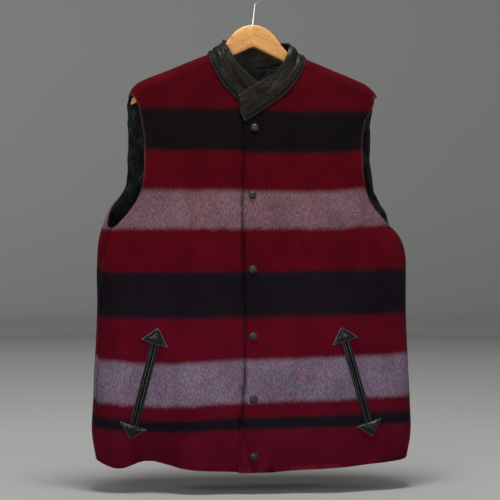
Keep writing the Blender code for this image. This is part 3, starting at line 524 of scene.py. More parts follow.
@dataclass(frozen=True)
class LacqueredWood:
    """Pale wood in two pieces mitred at the middle, each with its grain along its own arm."""

    effects: Effects
    slope: float = math.radians(24.5)
    pale: Colour = tone(230, 180, 104)
    honey: Colour = tone(214, 152, 84)
    line: Colour = tone(176, 112, 54)
    knot: Colour = tone(118, 70, 32)

    def make(self) -> bpy.types.Material:
        """The finished material."""
        material, work, shader = new_finish("lacquered_pale_wood")
        axes = work.add("SeparateXYZ")
        work.feed(axes.inputs[0], work.place())
        out = work.maths("ABSOLUTE", axes.outputs["X"])
        side = work.maths("SIGN", axes.outputs["X"])
        cos, sin = math.cos(self.slope), math.sin(self.slope)
        down = work.maths("MULTIPLY", axes.outputs["Z"], -1.0)
        along = work.maths("MULTIPLY_ADD", out, cos, work.maths("MULTIPLY", down, sin))
        over = work.maths("MULTIPLY_ADD", down, cos, work.maths("MULTIPLY", out, -sin))
        board = work.add("CombineXYZ")
        work.feed(board.inputs["X"], work.maths("MULTIPLY_ADD", side, 0.31, along))
        work.feed(board.inputs["Y"], over)
        work.feed(board.inputs["Z"], axes.outputs["Y"])
        warp = work.cloud(work.stretch(board.outputs[0], (0.35, 1.0, 1.0)), 26.0, 2.0, colour=True)
        bent = work.shift(board.outputs[0], warp, 0.012)
        rings = work.cloud(work.stretch(bent, (0.05, 1.0, 1.0)), 190.0, 3.0)
        fine = work.cloud(work.stretch(board.outputs[0], (0.035, 1.0, 1.0)), 1400.0, 2.0)
        broad = work.cloud(work.stretch(bent, (0.25, 1.0, 1.0)), 34.0, 2.0)
        colour = work.blend(work.span(broad, 0.35, 0.66), self.pale, self.honey)
        line_share = work.maths("MULTIPLY", work.span(rings, 0.50, 0.70), 0.42)
        colour = work.blend(line_share, colour, self.line)
        pores = work.maths("MULTIPLY", work.span(fine, 0.58, 0.72), 0.30)
        colour = work.blend(pores, colour, self.line)
        flecks = work.cloud(work.stretch(board.outputs[0], (0.55, 1.0, 1.0)), 230.0, 2.0)
        zones = work.span(work.cloud(board.outputs[0], 24.0, 1.0), 0.50, 0.62, 0.0, 0.8)
        knotty = work.span(axes.outputs["X"], 0.024, 0.038)
        before_tip = work.span(axes.outputs["X"], 0.058, 0.085, 1.0, 0.0)
        knotty = work.maths("MULTIPLY", knotty, before_tip)
        knotty = work.maths("MULTIPLY", knotty, work.span(over, 0.0, 0.012, 1.0, 0.25))
        zones = work.maths("MAXIMUM", zones, knotty)
        spots = work.maths("MULTIPLY", work.span(flecks, 0.57, 0.67), zones)
        colour = work.blend(work.maths("MULTIPLY", spots, 0.8), colour, self.knot)
        joint = work.span(out, 0.0002, 0.0007, 1.0, 0.0)
        colour = work.blend(work.maths("MULTIPLY", joint, 0.12), colour, self.knot)
        work.feed(shader.inputs["Base Color"], colour)
        wear = work.group(self.effects.wear, Place=board.outputs[0], Scale=34.0).outputs
        work.feed(shader.inputs["Roughness"], work.span(wear["Smudges"], 0.0, 1.0, 0.34, 0.48))
        shader.inputs["Coat Weight"].default_value = 0.25
        shader.inputs["Coat Roughness"].default_value = 0.22
        dents = work.maths("MULTIPLY_ADD", joint, -0.4, work.maths("MULTIPLY", fine, 0.35))
        work.feed(shader.inputs["Normal"], work.raised(dents, 0.0004, 0.5))
        return material


@dataclass(frozen=True)
class WornMetal:
    """A metal with smudges and fine scratches."""

    effects: Effects
    name: str
    base: Colour
    bare: Colour
    smooth: float
    dull: float
    metallic: float = 1.0

    def make(self) -> bpy.types.Material:
        """The finished material."""
        material, work, shader = new_finish(self.name)
        wear = work.group(
            self.effects.wear, Place=work.place(), Scale=260.0, Scratches=2600.0
        ).outputs
        rubbed = work.maths("MULTIPLY", wear["Scratches"], 0.5)
        rubbed = work.maths("MULTIPLY_ADD", wear["Smudges"], 0.3, rubbed, clamp=True)
        work.feed(shader.inputs["Base Color"], work.blend(rubbed, self.base, self.bare))
        rough = work.span(wear["Smudges"], 0.0, 1.0, self.smooth, self.dull)
        work.feed(shader.inputs["Roughness"], rough)
        shader.inputs["Metallic"].default_value = self.metallic
        work.feed(shader.inputs["Normal"], work.raised(wear["Scratches"], 0.00006, 0.4))
        return material


@dataclass(frozen=True)
class WaxedThread:
    """Twisted thread, a little paler than the leather that it holds."""

    effects: Effects
    name: str
    base: Colour = tone(40, 38, 37)
    worn: Colour = tone(70, 68, 66)

    def make(self) -> bpy.types.Material:
        """The finished material."""
        material, work, shader = new_finish(self.name)
        wear = work.group(self.effects.wear, Place=work.place(), Scale=500.0).outputs
        work.feed(shader.inputs["Base Color"], work.blend(wear["Smudges"], self.base, self.worn))
        twist = work.add("TexWave", wave_type="BANDS", bands_direction="DIAGONAL")
        work.feed(twist.inputs["Vector"], work.place())
        twist.inputs["Scale"].default_value = 1500.0
        work.feed(shader.inputs["Roughness"], work.span(wear["Smudges"], 0.0, 1.0, 0.45, 0.62))
        work.feed(shader.inputs["Normal"], work.raised(twist.outputs["Fac"], 0.00008, 0.6))
        return material


@dataclass(frozen=True)
class StudioPaint:
    """The stage: a pale floor and a plain grey wall, with the room's soft light as a faint glow.

    The glow is a row of distances, in metres, and strengths: along the floor outwards from
    below the hanger, and up the wall. The slant is how much it changes for each metre of X.
    """

    floor: Colour = tone(163, 163, 161)
    wall: Colour = tone(110, 109, 108)
    floor_z: float = -0.915
    far: float = 5.5
    wall_top: float = 4.5
    floor_glow: tuple[tuple[float, float], ...] = (
        (0.0, 0.0),
        (0.3, 0.0),
        (0.4, 0.010),
        (0.55, 0.040),
        (0.85, 0.068),
        (1.1, 0.085),
        (1.9, 0.098),
        (3.2, 0.092),
        (3.8, 0.079),
        (4.6, 0.056),
        (5.0, 0.048),
        (5.4, 0.031),
    )
    wall_glow: tuple[tuple[float, float], ...] = (
        (0.0, 0.031),
        (0.05, 0.060),
        (0.10, 0.093),
        (0.15, 0.107),
        (0.25, 0.112),
        (0.35, 0.116),
        (0.7, 0.129),
        (1.4, 0.137),
        (4.5, 0.137),
    )
    slant: float = -0.10

    def _glow(
        self, work: Tree, at: bpy.types.NodeSocket, rows: Sequence[tuple[float, float]], reach: float
    ) -> bpy.types.NodeSocket:
        """The glow at a distance, looked up in a row of distances and strengths."""
        stops = [(place / reach, (value, value, value, 1.0)) for place, value in rows]
        return work.ramp(work.maths("DIVIDE", at, reach), stops)

    def make(self) -> bpy.types.Material:
        """The finished material."""
        material, work, shader = new_finish("studio_paint")
        axes = work.add("SeparateXYZ")
        work.feed(axes.inputs[0], work.place())
        flat = work.stretch(work.place(), (1.0, 1.0, 0.0))
        away = work.add("VectorMath", operation="LENGTH")
        work.feed(away.inputs[0], flat)
        up = work.maths("SUBTRACT", axes.outputs["Z"], self.floor_z)
        on_wall = work.span(up, 0.0, 0.12)
        mottle = work.span(work.cloud(work.place(), 900.0, 2.0), 0.3, 0.7, 0.0, 0.06)
        colour = work.blend(on_wall, self.floor, self.wall)
        work.feed(shader.inputs["Base Color"], work.blend(mottle, colour, self.wall))
        floor_glow = self._glow(work, away.outputs["Value"], self.floor_glow, self.far)
        wall_glow = self._glow(work, up, self.wall_glow, self.wall_top)
        glow = work.blend(on_wall, floor_glow, wall_glow)
        slant = work.maths("MULTIPLY_ADD", axes.outputs["X"], self.slant, 1.0)
        work.feed(shader.inputs["Emission Color"], work.tint(glow, slant))
        shader.inputs["Emission Strength"].default_value = 1.0
        work.feed(shader.inputs["Roughness"], work.span(mottle, 0.0, 0.06, 0.75, 0.9))
        shader.inputs["Specular IOR Level"].default_value = 0.1
        return material


class Finishes:
    """Every finish on the vest, its hanger and the stage, each made once."""

    def __init__(self, effects: Effects) -> None:
        """Makes the materials."""
        self.wool = BlanketWool(effects).make()
        self.lining = QuiltedSatin(effects).make()
        self.collar = BlackLeather(
            effects,
            "soft_collar_leather",
            tone(6, 5, 3),
            tone(29, 25, 20),
            0.32,
            0.56,
            gloss=0.22,
            edge_wear_and_highlight=tone(66, 60, 54),
            cast=(1.0, 0.92, 0.86, 1.0),
        ).make()
        # A darker copy of the collar's leather: painted shade on the strip, which faces up into the
        # overhead light.
        self.strip = BlackLeather(
            effects,
            "strip_leather_painted_darker",
            tone(6, 5, 4),
            tone(16, 14, 12),
            0.42,
            0.60,
            gloss=0.12,
            edge_wear_and_highlight=tone(58, 54, 50),
            cast=(1.0, 0.92, 0.86, 1.0),
        ).make()
        self.trim = BlackLeather(
            effects,
            "padded_trim_leather",
            tone(5, 6, 8),
            tone(15, 17, 20),
            0.17,
            0.32,
            grain=1300.0,
            creases=0.3,
            depth=0.0004,
            gloss=0.26,
            edge_wear_and_highlight=tone(118, 116, 114),
        ).make()
        self.lip = BlackLeather(
            effects,
            "rolled_lip_leather",
            tone(2, 3, 5),
            tone(8, 10, 13),
            0.22,
            0.40,
            grain=1500.0,
            creases=0.5,
            depth=0.0003,
            gloss=0.14,
            edge_wear_and_highlight=tone(108, 108, 110),
        ).make()
        self.thread = WaxedThread(effects, "black_waxed_thread").make()
        self.pale_thread = WaxedThread(
            effects, "grey_waxed_thread", tone(96, 94, 92), tone(140, 138, 136)
        ).make()
        self.cap = WornMetal(
            effects, "dark_snap_lacquer", tone(54, 51, 49), tone(104, 99, 96), 0.32, 0.48, 0.80
        ).make()
        self.steel = WornMetal(
            effects, "bright_hook_steel", tone(214, 214, 212), tone(236, 236, 234), 0.16, 0.30
        ).make()
        self.wood = LacqueredWood(effects).make()
        self.stage = StudioPaint().make()


@dataclass
class Rim:
    """One closed edge of a thin wall: its points, where the wall faces, and the way inwards."""

    points: Points
    normals: Points
    inwards: Points

    def inset(self, distance: float, pitch: float) -> tuple[Points, Points]:
        """A line that runs beside the edge.

        Args:
            distance: how far in from the edge.
            pitch: how far apart the line's points are.

        Returns:
            The line's points, and where the wall faces at each.
        """
        line = self.points + unit(self.inwards) * distance
        closed = np.concatenate([line, line[:1]])
        facing = np.concatenate([self.normals, self.normals[:1]])
        steps = np.linalg.norm(np.diff(closed, axis=0), axis=1)
        run = np.concatenate([[0.0], np.cumsum(steps)])
        at = np.arange(0.0, run[-1], pitch)
        places = np.stack([np.interp(at, run, closed[:, k]) for k in range(3)], axis=-1)
        faces = np.stack([np.interp(at, run, facing[:, k]) for k in range(3)], axis=-1)
        return places, unit(faces)


@dataclass
class PackedCopy:
    """A smooth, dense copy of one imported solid, which passes through the solid's corners.

    Its sharp edges are kept, and rounded by the rounding, in metres. A rim is at least
    rim_edges long.
    """

    node: str
    levels: int = 2
    rounding: float = 0.0
    sharp: float = math.radians(40)
    corner: float = math.radians(38)
    fit_rounds: int = 4
    rim_edges: int = 5

    def _frame_mesh(self) -> bmesh.types.BMesh:
        """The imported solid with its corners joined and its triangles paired."""
        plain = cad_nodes()[self.node].data.copy()
        for attribute in [a for a in plain.attributes if a.name == "custom_normal"]:
            plain.attributes.remove(attribute)
        work = bmesh.new()
        work.from_mesh(plain)
        bpy.data.meshes.remove(plain)
        bmesh.ops.remove_doubles(work, verts=work.verts, dist=2e-5)
        bmesh.ops.join_triangles(
            work,
            faces=work.faces,
            angle_face_threshold=math.radians(35),
            angle_shape_threshold=math.radians(70),
        )
        return work

    def _crease(self, work: bmesh.types.BMesh) -> None:
        """Marks the sharp edges and the corners where they turn."""
        crease = work.edges.layers.float.new("crease_edge")
        pin = work.verts.layers.float.new("crease_vert")
        for edge in work.edges:
            edge[crease] = float(edge.calc_face_angle(0.0) > self.sharp)
        for corner in work.verts:
            lines = [e for e in corner.link_edges if e[crease] > 0.5]
            if len(lines) > 2:
                corner[pin] = 1.0
            elif len(lines) == 2:
                first, second = (e.other_vert(corner).co - corner.co for e in lines)
                corner[pin] = float(math.pi - first.angle(second, math.pi) > self.corner)

    def rims(self) -> list[Rim]:
        """The closed edges of the wall's two faces, in the same order on every run."""
        work = self._frame_mesh()
        sharp = {e for e in work.edges if e.calc_face_angle(0.0) > self.sharp}
        side_faces = set()
        for face in work.faces:
            lines = [e for e in face.edges if e in sharp]
            if any(not set(a.verts) & set(b.verts) for a in lines for b in lines):
                side_faces.add(face)
        border = set()
        for edge in work.edges:
            sides = sum(f in side_faces for f in edge.link_faces)
            if sides == 1 or (sides == 0 and edge in sharp):
                border.add(edge)
        seen, rims = set(), []
        for start in [loop for f in work.faces if f not in side_faces for loop in f.loops]:
            if start.edge not in border or start in seen:
                continue
            walk = self._walk(start, border)
            seen.update(walk)
            walk = self._trimmed(walk)
            if len(walk) >= self.rim_edges:
                rims.append(self._rim([c.vert.co for c in walk], [c.face for c in walk]))
        work.free()
        return rims

    @staticmethod
    def _walk(
        start: bmesh.types.BMLoop, border: set[bmesh.types.BMEdge]
    ) -> list[bmesh.types.BMLoop]:
        """The closed way round one face of the wall, along its border."""
        walk = [start]
        while True:
            turn = walk[-1].link_loop_next
            while turn.edge not in border:
                turn = turn.link_loop_radial_next.link_loop_next
            if turn == start:
                return walk
            walk.append(turn)

    @staticmethod
    def _trimmed(walk: list[bmesh.types.BMLoop]) -> list[bmesh.types.BMLoop]:
        """The walk without the creases that it runs along and back again."""
        kept = []
        for step in walk:
            if kept and kept[-1].edge == step.edge:
                kept.pop()
            else:
                kept.append(step)
        while len(kept) > 1 and kept[0].edge == kept[-1].edge:
            kept = kept[1:-1]
        return kept

    @staticmethod
    def _rim(corners: list[Vector], faces: list[bmesh.types.BMFace]) -> Rim:
        """A rim from its chain of corners and the wall's face beside each of its edges."""
        points = np.array([tuple(c) for c in corners])
        normals = np.array([tuple(f.normal) for f in faces])[: len(points)]
        centres = np.array([tuple(f.calc_center_median()) for f in faces])[: len(points)]
        following = np.roll(points, -1, axis=0)
        along = unit(following - points)
        inwards = np.cross(normals, along)
        flip = np.sign(((centres - points) * inwards).sum(axis=1, keepdims=True))
        inwards = inwards * flip
        return Rim(points, unit(normals + np.roll(normals, 1, 0)), inwards + np.roll(inwards, 1, 0))

    def build(self, name: str) -> bpy.types.Object:
        """The dense copy as a new object.

        Args:
            name: the new object's name.

        Returns:
            The object, shaded smooth, with every modifier applied.
        """
        work = self._frame_mesh()
        self._crease(work)
        mesh = bpy.data.meshes.new(name)
        work.to_mesh(mesh)
        work.free()
        piece = stand(name, mesh)
        smooth = piece.modifiers.new("smooth", "SUBSURF")
        smooth.levels = smooth.render_levels = self.levels
        smooth.boundary_smooth = "PRESERVE_CORNERS"
        self._fit(piece)
        if self.rounding:
            edge = piece.modifiers.new("round", "BEVEL")
            edge.width = self.rounding
            edge.segments = 3
            edge.limit_method = "ANGLE"
            edge.angle_limit = math.radians(50)
        settle(piece)
        return piece

    def _fit(self, piece: bpy.types.Object) -> None:
        """Moves the corners until the smooth surface passes through the solid's own corners."""
        count = len(piece.data.vertices)
        target = corners_of(piece.data)
        for _ in range(self.fit_rounds):
            shown = corners_of(evaluated(piece))[:count]
            move_corners(piece.data, corners_of(piece.data) + (target - shown))


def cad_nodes() -> dict[str, bpy.types.Object]:
    """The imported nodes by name."""
    return FRAME["nodes"]


def corners_of(mesh: bpy.types.Mesh) -> Points:
    """The places of a mesh's vertices."""
    places = np.empty(len(mesh.vertices) * 3)
    mesh.vertices.foreach_get("co", places)
    return places.reshape(-1, 3)


def move_corners(mesh: bpy.types.Mesh, places: Points) -> None:
    """Moves a mesh's vertices to new places."""
    mesh.vertices.foreach_set("co", places.ravel())
    mesh.update()


def mark_corners(mesh: bpy.types.Mesh, name: str, values: Points) -> None:
    """Keeps one number at each vertex under a name, for the mesh's finish to read."""
    mark = mesh.attributes.new(name, "FLOAT", "POINT")
    mark.data.foreach_set("value", values.astype(np.float32))


def stand(name: str, data: bpy.types.ID) -> bpy.types.Object:
    """A new object in the scene."""
    item = bpy.data.objects.new(name, data)
    bpy.context.scene.collection.objects.link(item)
    return item


def normals_of(mesh: bpy.types.Mesh) -> Points:
    """Where a mesh faces at each of its vertices."""
    facing = np.empty(len(mesh.vertices) * 3, dtype=np.float32)
    mesh.vertex_normals.foreach_get("vector", facing)
    return facing.reshape(-1, 3).astype(float)


def evaluated(piece: bpy.types.Object) -> bpy.types.Mesh:
    """The piece's mesh with its modifiers, as the scene shows it."""
    bpy.context.view_layer.update()
    return piece.evaluated_get(bpy.context.evaluated_depsgraph_get()).data


def settle(piece: bpy.types.Object) -> None:
    """Applies every modifier and shades the piece smooth, apart from its sharp edges."""
    bpy.context.view_layer.update()
    shown = piece.evaluated_get(bpy.context.evaluated_depsgraph_get())
    mesh = bpy.data.meshes.new_from_object(shown)
    piece.modifiers.clear()
    old = piece.data
    piece.data = mesh
    bpy.data.meshes.remove(old)
    mesh.shade_smooth()
    mesh.set_sharp_from_angle(angle=math.radians(50))


def turn_outwards(mesh: bpy.types.Mesh) -> None:
    """Turns every face of a closed mesh outwards."""
    work = bmesh.new()
    work.from_mesh(mesh)
    bmesh.ops.recalc_face_normals(work, faces=work.faces)
    work.to_mesh(mesh)
    work.free()


def push(piece: bpy.types.Object, heights: Points) -> None:
    """Moves each point of a piece along its own normal."""
    mesh = piece.data
    move_corners(mesh, corners_of(mesh) + normals_of(mesh) * heights[:, None])


@dataclass(frozen=True)
class ArmholeHang:
    """How far the cloth round the wearer's left armhole hangs sideways of its solids.

    The wool reaches past the shoulder's tip, the lining stays short of it, the front closes
    over the wood's tip and the back is drawn in below it.
    """

    wool_past_tip: float = 0.003
    lining_past_tip: float = -0.002
    front_closed: float = 0.007
    back_drawn_in: float = 0.006

    def apply(self, piece: bpy.types.Object, behind: bool, wool: bool) -> None:
        """Moves the cloth of one panel.

        Args:
            piece: a wool or a lining panel.
            behind: whether it is a back panel.
            wool: whether it is a wool panel.
        """
        points = corners_of(piece.data)
        drop = WOOD_TOP_Z - points[:, 2]
        beside = ease((points[:, 0] - 0.165) / 0.03)
        by_edge = ease((points[:, 0] - 0.14) / 0.05)
        tip = ease((drop - 0.105) / 0.02) * (1 - ease((drop - 0.150) / 0.03))
        tip = (self.wool_past_tip if wool else self.lining_past_tip) * tip
        closed = ease((drop - 0.128) / 0.012) * (1 - ease((drop - 0.145) / 0.035))
        drawn_in = ease((drop - 0.120) / 0.035) * (1 - ease((drop - 0.350) / 0.022))
        if behind:
            points[:, 0] += tip * beside - self.back_drawn_in * drawn_in * by_edge
        else:
            points[:, 0] += (tip + self.front_closed * closed) * beside
        move_corners(piece.data, points)


def distance_to(points: Points, loops: Sequence[Points]) -> Points:
    """How far each point is from the nearest of some closed lines.

    Args:
        points: where the distances are wanted.
        loops: the corners of each closed line.

    Returns:
        One distance for each point.
    """
    marks = []
    for loop in loops:
        for start, end in zip(loop, np.roll(loop, -1, axis=0)):
            count = max(int(np.linalg.norm(end - start) / 0.0015), 1)
            marks += [start + (end - start) * step / count for step in range(count)]
    tree = KDTree(len(marks))
    for number, mark in enumerate(marks):
        tree.insert(Vector(mark), number)
    tree.balance()
    return np.array([tree.find(Vector(point))[2] for point in points])


def rim_lines(node: str) -> list[Points]:
    """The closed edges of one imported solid, as lines of points."""
    return [rim.points for rim in PackedCopy(node).rims()]


def surface_of(piece: bpy.types.Object) -> BVHTree:
    """The piece's surface, to lay other pieces on."""
    mesh = piece.data
    return BVHTree.FromPolygons(
        [tuple(v.co) for v in mesh.vertices], [tuple(f.vertices) for f in mesh.polygons]
    )


def dress(
    piece: bpy.types.Object, finish: bpy.types.Material, slot: str, *nodes: str
) -> bpy.types.Object:
    """Gives a piece its finish and its body, and hides the nodes it stands for. The slot is not
    used.
    """
    piece.data.materials.clear()
    piece.data.materials.append(finish)
    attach(piece, BODY)
    if nodes:
        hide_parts(*nodes)
    LOG.info("%s: %d faces", piece.name, len(piece.data.polygons))
    return piece


@dataclass(frozen=True)
class StitchRow:
    """Short stitches of thread laid along lines on a surface.

    A step of more than longest_step pitches is a break in the row, and takes no stitch.
    """

    pitch: float = 0.0036
    longest_step: float = 1.6
    share: float = 0.68
    radius: float = 0.00030
    sides: int = 6
    rings: int = 5

    def build(
        self, name: str, rows: Sequence[tuple[Points, Points]], surface: BVHTree
    ) -> bpy.types.Object:
        """One mesh of every stitch.

        Args:
            name: the new object's name.
            rows: the points of each row, one pitch apart, and where the surface faces there.
            surface: what the stitches lie on.

        Returns:
            The stitches.
        """
        points, faces = [], []
        for line, facing in rows:
            for start, end, normal in zip(line, np.roll(line, -1, axis=0), facing):
                if np.linalg.norm(end - start) > self.pitch * self.longest_step:
                    continue
                end = start + (end - start) * self.share
                self._stitch(start, end, normal, surface, points, faces)
        mesh = bpy.data.meshes.new(name)
        mesh.from_pydata(points, [], faces)
        mesh.shade_smooth()
        return stand(name, mesh)

    def _stitch(
        self,
        start: Points,
        end: Points,
        normal: Points,
        surface: BVHTree,
        points: list[tuple[float, float, float]],
        faces: list[tuple[int, ...]],
    ) -> None:
        """Adds one stitch, a bar that dips into the surface at both ends."""
        first = len(points)
        ends = []
        for place in (start, end):
            hit = surface.ray_cast(Vector(place + normal * 0.006), Vector(-normal), 0.02)[0]
            if hit is None:
                return
            ends.append(np.array(hit))
        start, end = ends
        along = unit(end - start)
        across = unit(np.cross(normal, along))
        up = np.cross(along, across)
        for ring in range(self.rings):
            way = 2 * ring / (self.rings - 1) - 1
            thick = self.radius * math.sqrt(max(1 - way**4, 0.12))
            lift = self.radius * (0.9 - 1.3 * way**4)
            middle = start + (end - start) * (way + 1) / 2 + up * lift
            for side in range(self.sides):
                turn = 2 * math.pi * side / self.sides
                corner = middle + thick * (math.cos(turn) * across + math.sin(turn) * up)
                points.append(tuple(corner))
        for ring in range(self.rings - 1):
            for side in range(self.sides):
                low = first + ring * self.sides
                a, b = low + side, low + (side + 1) % self.sides
                faces.append((a, b, b + self.sides, a + self.sides))
        faces.append(tuple(range(first + self.sides - 1, first - 1, -1)))
        last = first + (self.rings - 1) * self.sides
        faces.append(tuple(range(last, last + self.sides)))


class Panel(Enum):
    """The three pieces of blanket wool."""

    BACK = "back"
    FRONT_LEFT = "front_left"
    FRONT_RIGHT = "front_right"


@dataclass
class WoolPanel:
    """One piece of blanket wool, with its bands and the soft unevenness of a brushed cloth."""

    panel: Panel
    flat: tuple[float, float]
    area: float
    levels: int = 2
    rounding: float = 0.0011
    lump: float = 0.0006
    broad_size: tuple[float, float, float] = (0.034, 0.034, 0.060)
    small_size: tuple[float, float, float] = (0.014, 0.014, 0.024)
    fuzz_reach: float = 0.0022
    seam_reach: float = 0.0016

    @staticmethod
    def _armhole(points: Points) -> Points:
        """Which points lie by the armholes, as a share."""
        drop = WOOD_TOP_Z - points[:, 2]
        height = ease((drop - 0.112) / 0.015) * (1 - ease((drop - 0.345) / 0.02))
        return height * ease((np.abs(points[:, 0]) - 0.12) / 0.02)

    def _painted_shade(self, points: Points, rims: Sequence[Points]) -> Points:
        """How much shade is painted on the wool: the lap's shadow beside the placket, and shade
        along the side seams.
        """
        seams = 0.5 * (1 - self._armhole(points)) * bump(distance_to(points, rims), self.seam_reach)
        seams = seams * ease((np.abs(points[:, 0]) - 0.20) / 0.03)
        lap = rim_lines(Panel.FRONT_LEFT.value)
        lap = [line[(np.abs(line[:, 0]) < 0.03) & (line[:, 1] < 0)] for line in lap]
        near_lap = bump(distance_to(points, [line for line in lap if len(line)]), self.seam_reach)
        return np.maximum(seams, near_lap * (points[:, 1] < 0))

    def _band_drop(self, points: Points) -> Points:
        """Where each point lies among the woven bands, as a drop."""
        across = np.abs(points[:, 0])
        drop = WOOD_TOP_Z - points[:, 2]
        if self.panel is Panel.FRONT_RIGHT:
            sag = ease((drop - 0.48) / 0.12) * (1 - ease((drop - 0.69) / 0.09))
            drop = drop - 0.0062 * bump(across - 0.165, 0.075) * sag
            return drop + 0.0036 * (1 - ease((drop - 0.24) / 0.12))
        if self.panel is Panel.FRONT_LEFT:
            by_armhole = ease((drop - 0.17) / 0.05) * (1 - ease((drop - 0.38) / 0.03))
            drop = drop + 0.0060 * by_armhole * ease((across - 0.13) / 0.07)
            tilt = 0.016 + 0.016 * bump(drop - 0.62, 0.06)
            return drop + ease((drop - 0.38) / 0.06) * (0.0008 + tilt * across)
        return drop + 0.005 * ease((drop - 0.38) / 0.06)

    def build(self, finishes: Finishes) -> bpy.types.Object:
        """The dressed panel, which stands for the solid of the same name."""
        node = self.panel.value
        piece = PackedCopy(node, self.levels, self.rounding).build(f"{node}_wool")
        points = corners_of(piece.data)
        rims = rim_lines(node)
        # Painted highlight: marks the armhole edges, which the finish paints pale as nap that
        # catches the light.
        fuzz_highlight = self._armhole(points) * bump(distance_to(points, rims), self.fuzz_reach)
        mark_corners(piece.data, "stripe_drop", self._band_drop(points))
        mark_corners(piece.data, "edge_fuzz_highlight", fuzz_highlight)
        # Painted shade: marks the lap's shadow and the shade along the side seams.
        mark_corners(piece.data, "edge_shade", self._painted_shade(points, rims))
        seed = list(Panel).index(self.panel) * 5
        relief = ripple(points, self.broad_size, seed) * self.lump
        relief += ripple(points, self.small_size, seed + 1) * self.lump * 0.35
        push(piece, relief)
        ArmholeHang().apply(piece, behind=self.panel is Panel.BACK, wool=True)
        dress(piece, finishes.wool, "wool", node)
        return piece


@dataclass
class Lining:
    """One piece of the quilted lining: puffed between slanting rows of quilting."""

    node: str
    flat: tuple[float, float]
    area: float
    levels: int = 2
    spacing: float = 0.058
    puff: float = 0.0026
    slant: float = 0.9

    def _puffs(self, points: Points, facing: Points) -> Points:
        """How far the padding swells the face that is seen, towards the vest's inside."""
        inside = -np.sign(points[:, 1]) * facing[:, 1] > 0.2
        across = points[:, 0] + 0.35 * points[:, 1]
        drop = -points[:, 2]
        first = np.abs(np.sin(math.pi * (across + self.slant * drop) / self.spacing))
        second = np.abs(np.sin(math.pi * (across - self.slant * drop) / self.spacing))
        swell = np.minimum(first, second) ** 0.6
        puckers = 0.35 * ripple(points, (0.012, 0.012, 0.012), 41)
        return inside * self.puff * (swell + puckers * (1 - swell))

    def build(self, finishes: Finishes) -> bpy.types.Object:
        """The dressed lining, which stands for the solid of the same name."""
        piece = PackedCopy(self.node, self.levels).build(f"{self.node}_satin")
        push(piece, self._puffs(corners_of(piece.data), normals_of(piece.data)))
        ArmholeHang().apply(piece, behind=self.node == "lining_back", wool=False)
        dress(piece, finishes.lining, "lining", self.node)
        return piece


@dataclass
class Collar:
    """The leather collar and the narrow strip over its seam, crushed and topstitched."""

    levels: int = 3
    rounding: float = 0.0009
    crush: float = 0.0030
    edge_inset: float = 0.0034
    strip_inset: float = 0.0016
    strip_reach: float = 0.0065
    cover_start: float = 0.0028
    cover_reach: float = 0.010

    def build(self, finishes: Finishes) -> list[bpy.types.Object]:
        """The collar, the strip and their stitches."""
        strip = self._leather("neck_binding", self.levels - 1, 0.0003, 0.0005, finishes.strip)
        collar = self._leather("collar", self.levels, self.rounding, self.crush, finishes.collar)
        near_strip, leather = surface_of(strip), surface_of(collar)
        stitches = StitchRow()
        rows = []
        for rim in PackedCopy("collar").rims():
            line, facing = rim.inset(self.edge_inset, stitches.pitch)
            clear = []
            for place, way in zip(line, facing):
                start = Vector(place + way * self.cover_start)
                above = leather.ray_cast(start, Vector(way), self.cover_reach)[0]
                by_strip = near_strip.find_nearest(Vector(place))[3] < self.strip_reach
                clear.append(above is None and not by_strip)
            rows.append((line[clear], facing[clear]))
        edge = stitches.build("collar_topstitch", rows, leather)
        dress(edge, finishes.thread, "leather")
        rows = [
            rim.inset(self.strip_inset, stitches.pitch)
            for rim in PackedCopy("neck_binding").rims()
            if rim.normals[:, 1].mean() < 0.05
        ]
        seam = stitches.build("binding_topstitch", rows, near_strip)
        dress(seam, finishes.thread, "leather")
        return [strip, collar, edge, seam]

    def _leather(
        self, node: str, levels: int, rounding: float, crush: float, finish: bpy.types.Material
    ) -> bpy.types.Object:
        """One leather piece with its crushed relief."""
        piece = PackedCopy(node, levels, rounding).build(f"{node}_leather")
        self._mark_wear_and_painted_light(piece, node)
        push(piece, crush * self._creases(corners_of(piece.data), normals_of(piece.data)))
        return dress(piece, finish, "leather", node)

    def _creases(self, points: Points, facing: Points) -> Points:
        """The crushed relief: long creases that follow the collar, and puckers by the strip.

        Args:
            points: where the relief is wanted.
            facing: where the leather faces there.

        Returns:
            A height for each point, which moves both faces of the leather the same way.
        """
        up_collar = distance_to(points, rim_lines("neck_binding"))
        round_neck = np.arctan2(points[:, 1], points[:, 0]) * 0.075
        places = np.stack([round_neck, up_collar, np.zeros(len(points))], axis=-1)
        ridges = crumple(places * (0.20, 1.0, 1.0), 0.0095, 11, Fold.CREASED)
        lumps = crumple(places * (0.45, 1.0, 1.0), 0.021, 23, Fold.SMOOTH)
        puckers = crumple(places * (1.5, 0.5, 1.0), 0.010, 37, Fold.SMOOTH)
        by_strip = bump(up_collar - 0.009, 0.006)
        relief = 0.30 * ridges + 1.45 * lumps + 0.25 * puckers * by_strip - 0.2
        outward = unit(points * (0.6, 1.0, 0.0))
        side = np.clip(3.0 * (facing * outward).sum(axis=1), -1.0, 1.0)
        calm = np.where(points[:, 1] > 0.02, 0.45, 1.0)
        return relief * side * calm * ease((up_collar - 0.002) / 0.006)

    @staticmethod
    def _mark_wear_and_painted_light(piece: bpy.types.Object, node: str) -> None:
        """Marks a thin pale line along the piece's edges, partly wear and partly painted highlight,
        and painted light on the inside of its back.
        """
        points = corners_of(piece.data)
        # Painted light: the inside of the back is marked to be painted paler.
        behind = ease((points[:, 1] - 0.012) / 0.012)
        inside = ease((-normals_of(piece.data)[:, 1] - 0.2) / 0.4)
        worn = 0.55 * bump(distance_to(points, rim_lines(node)), 0.0009)
        mark_corners(piece.data, "edge_wear_and_painted_light", np.maximum(worn, 0.17 * behind * inside))


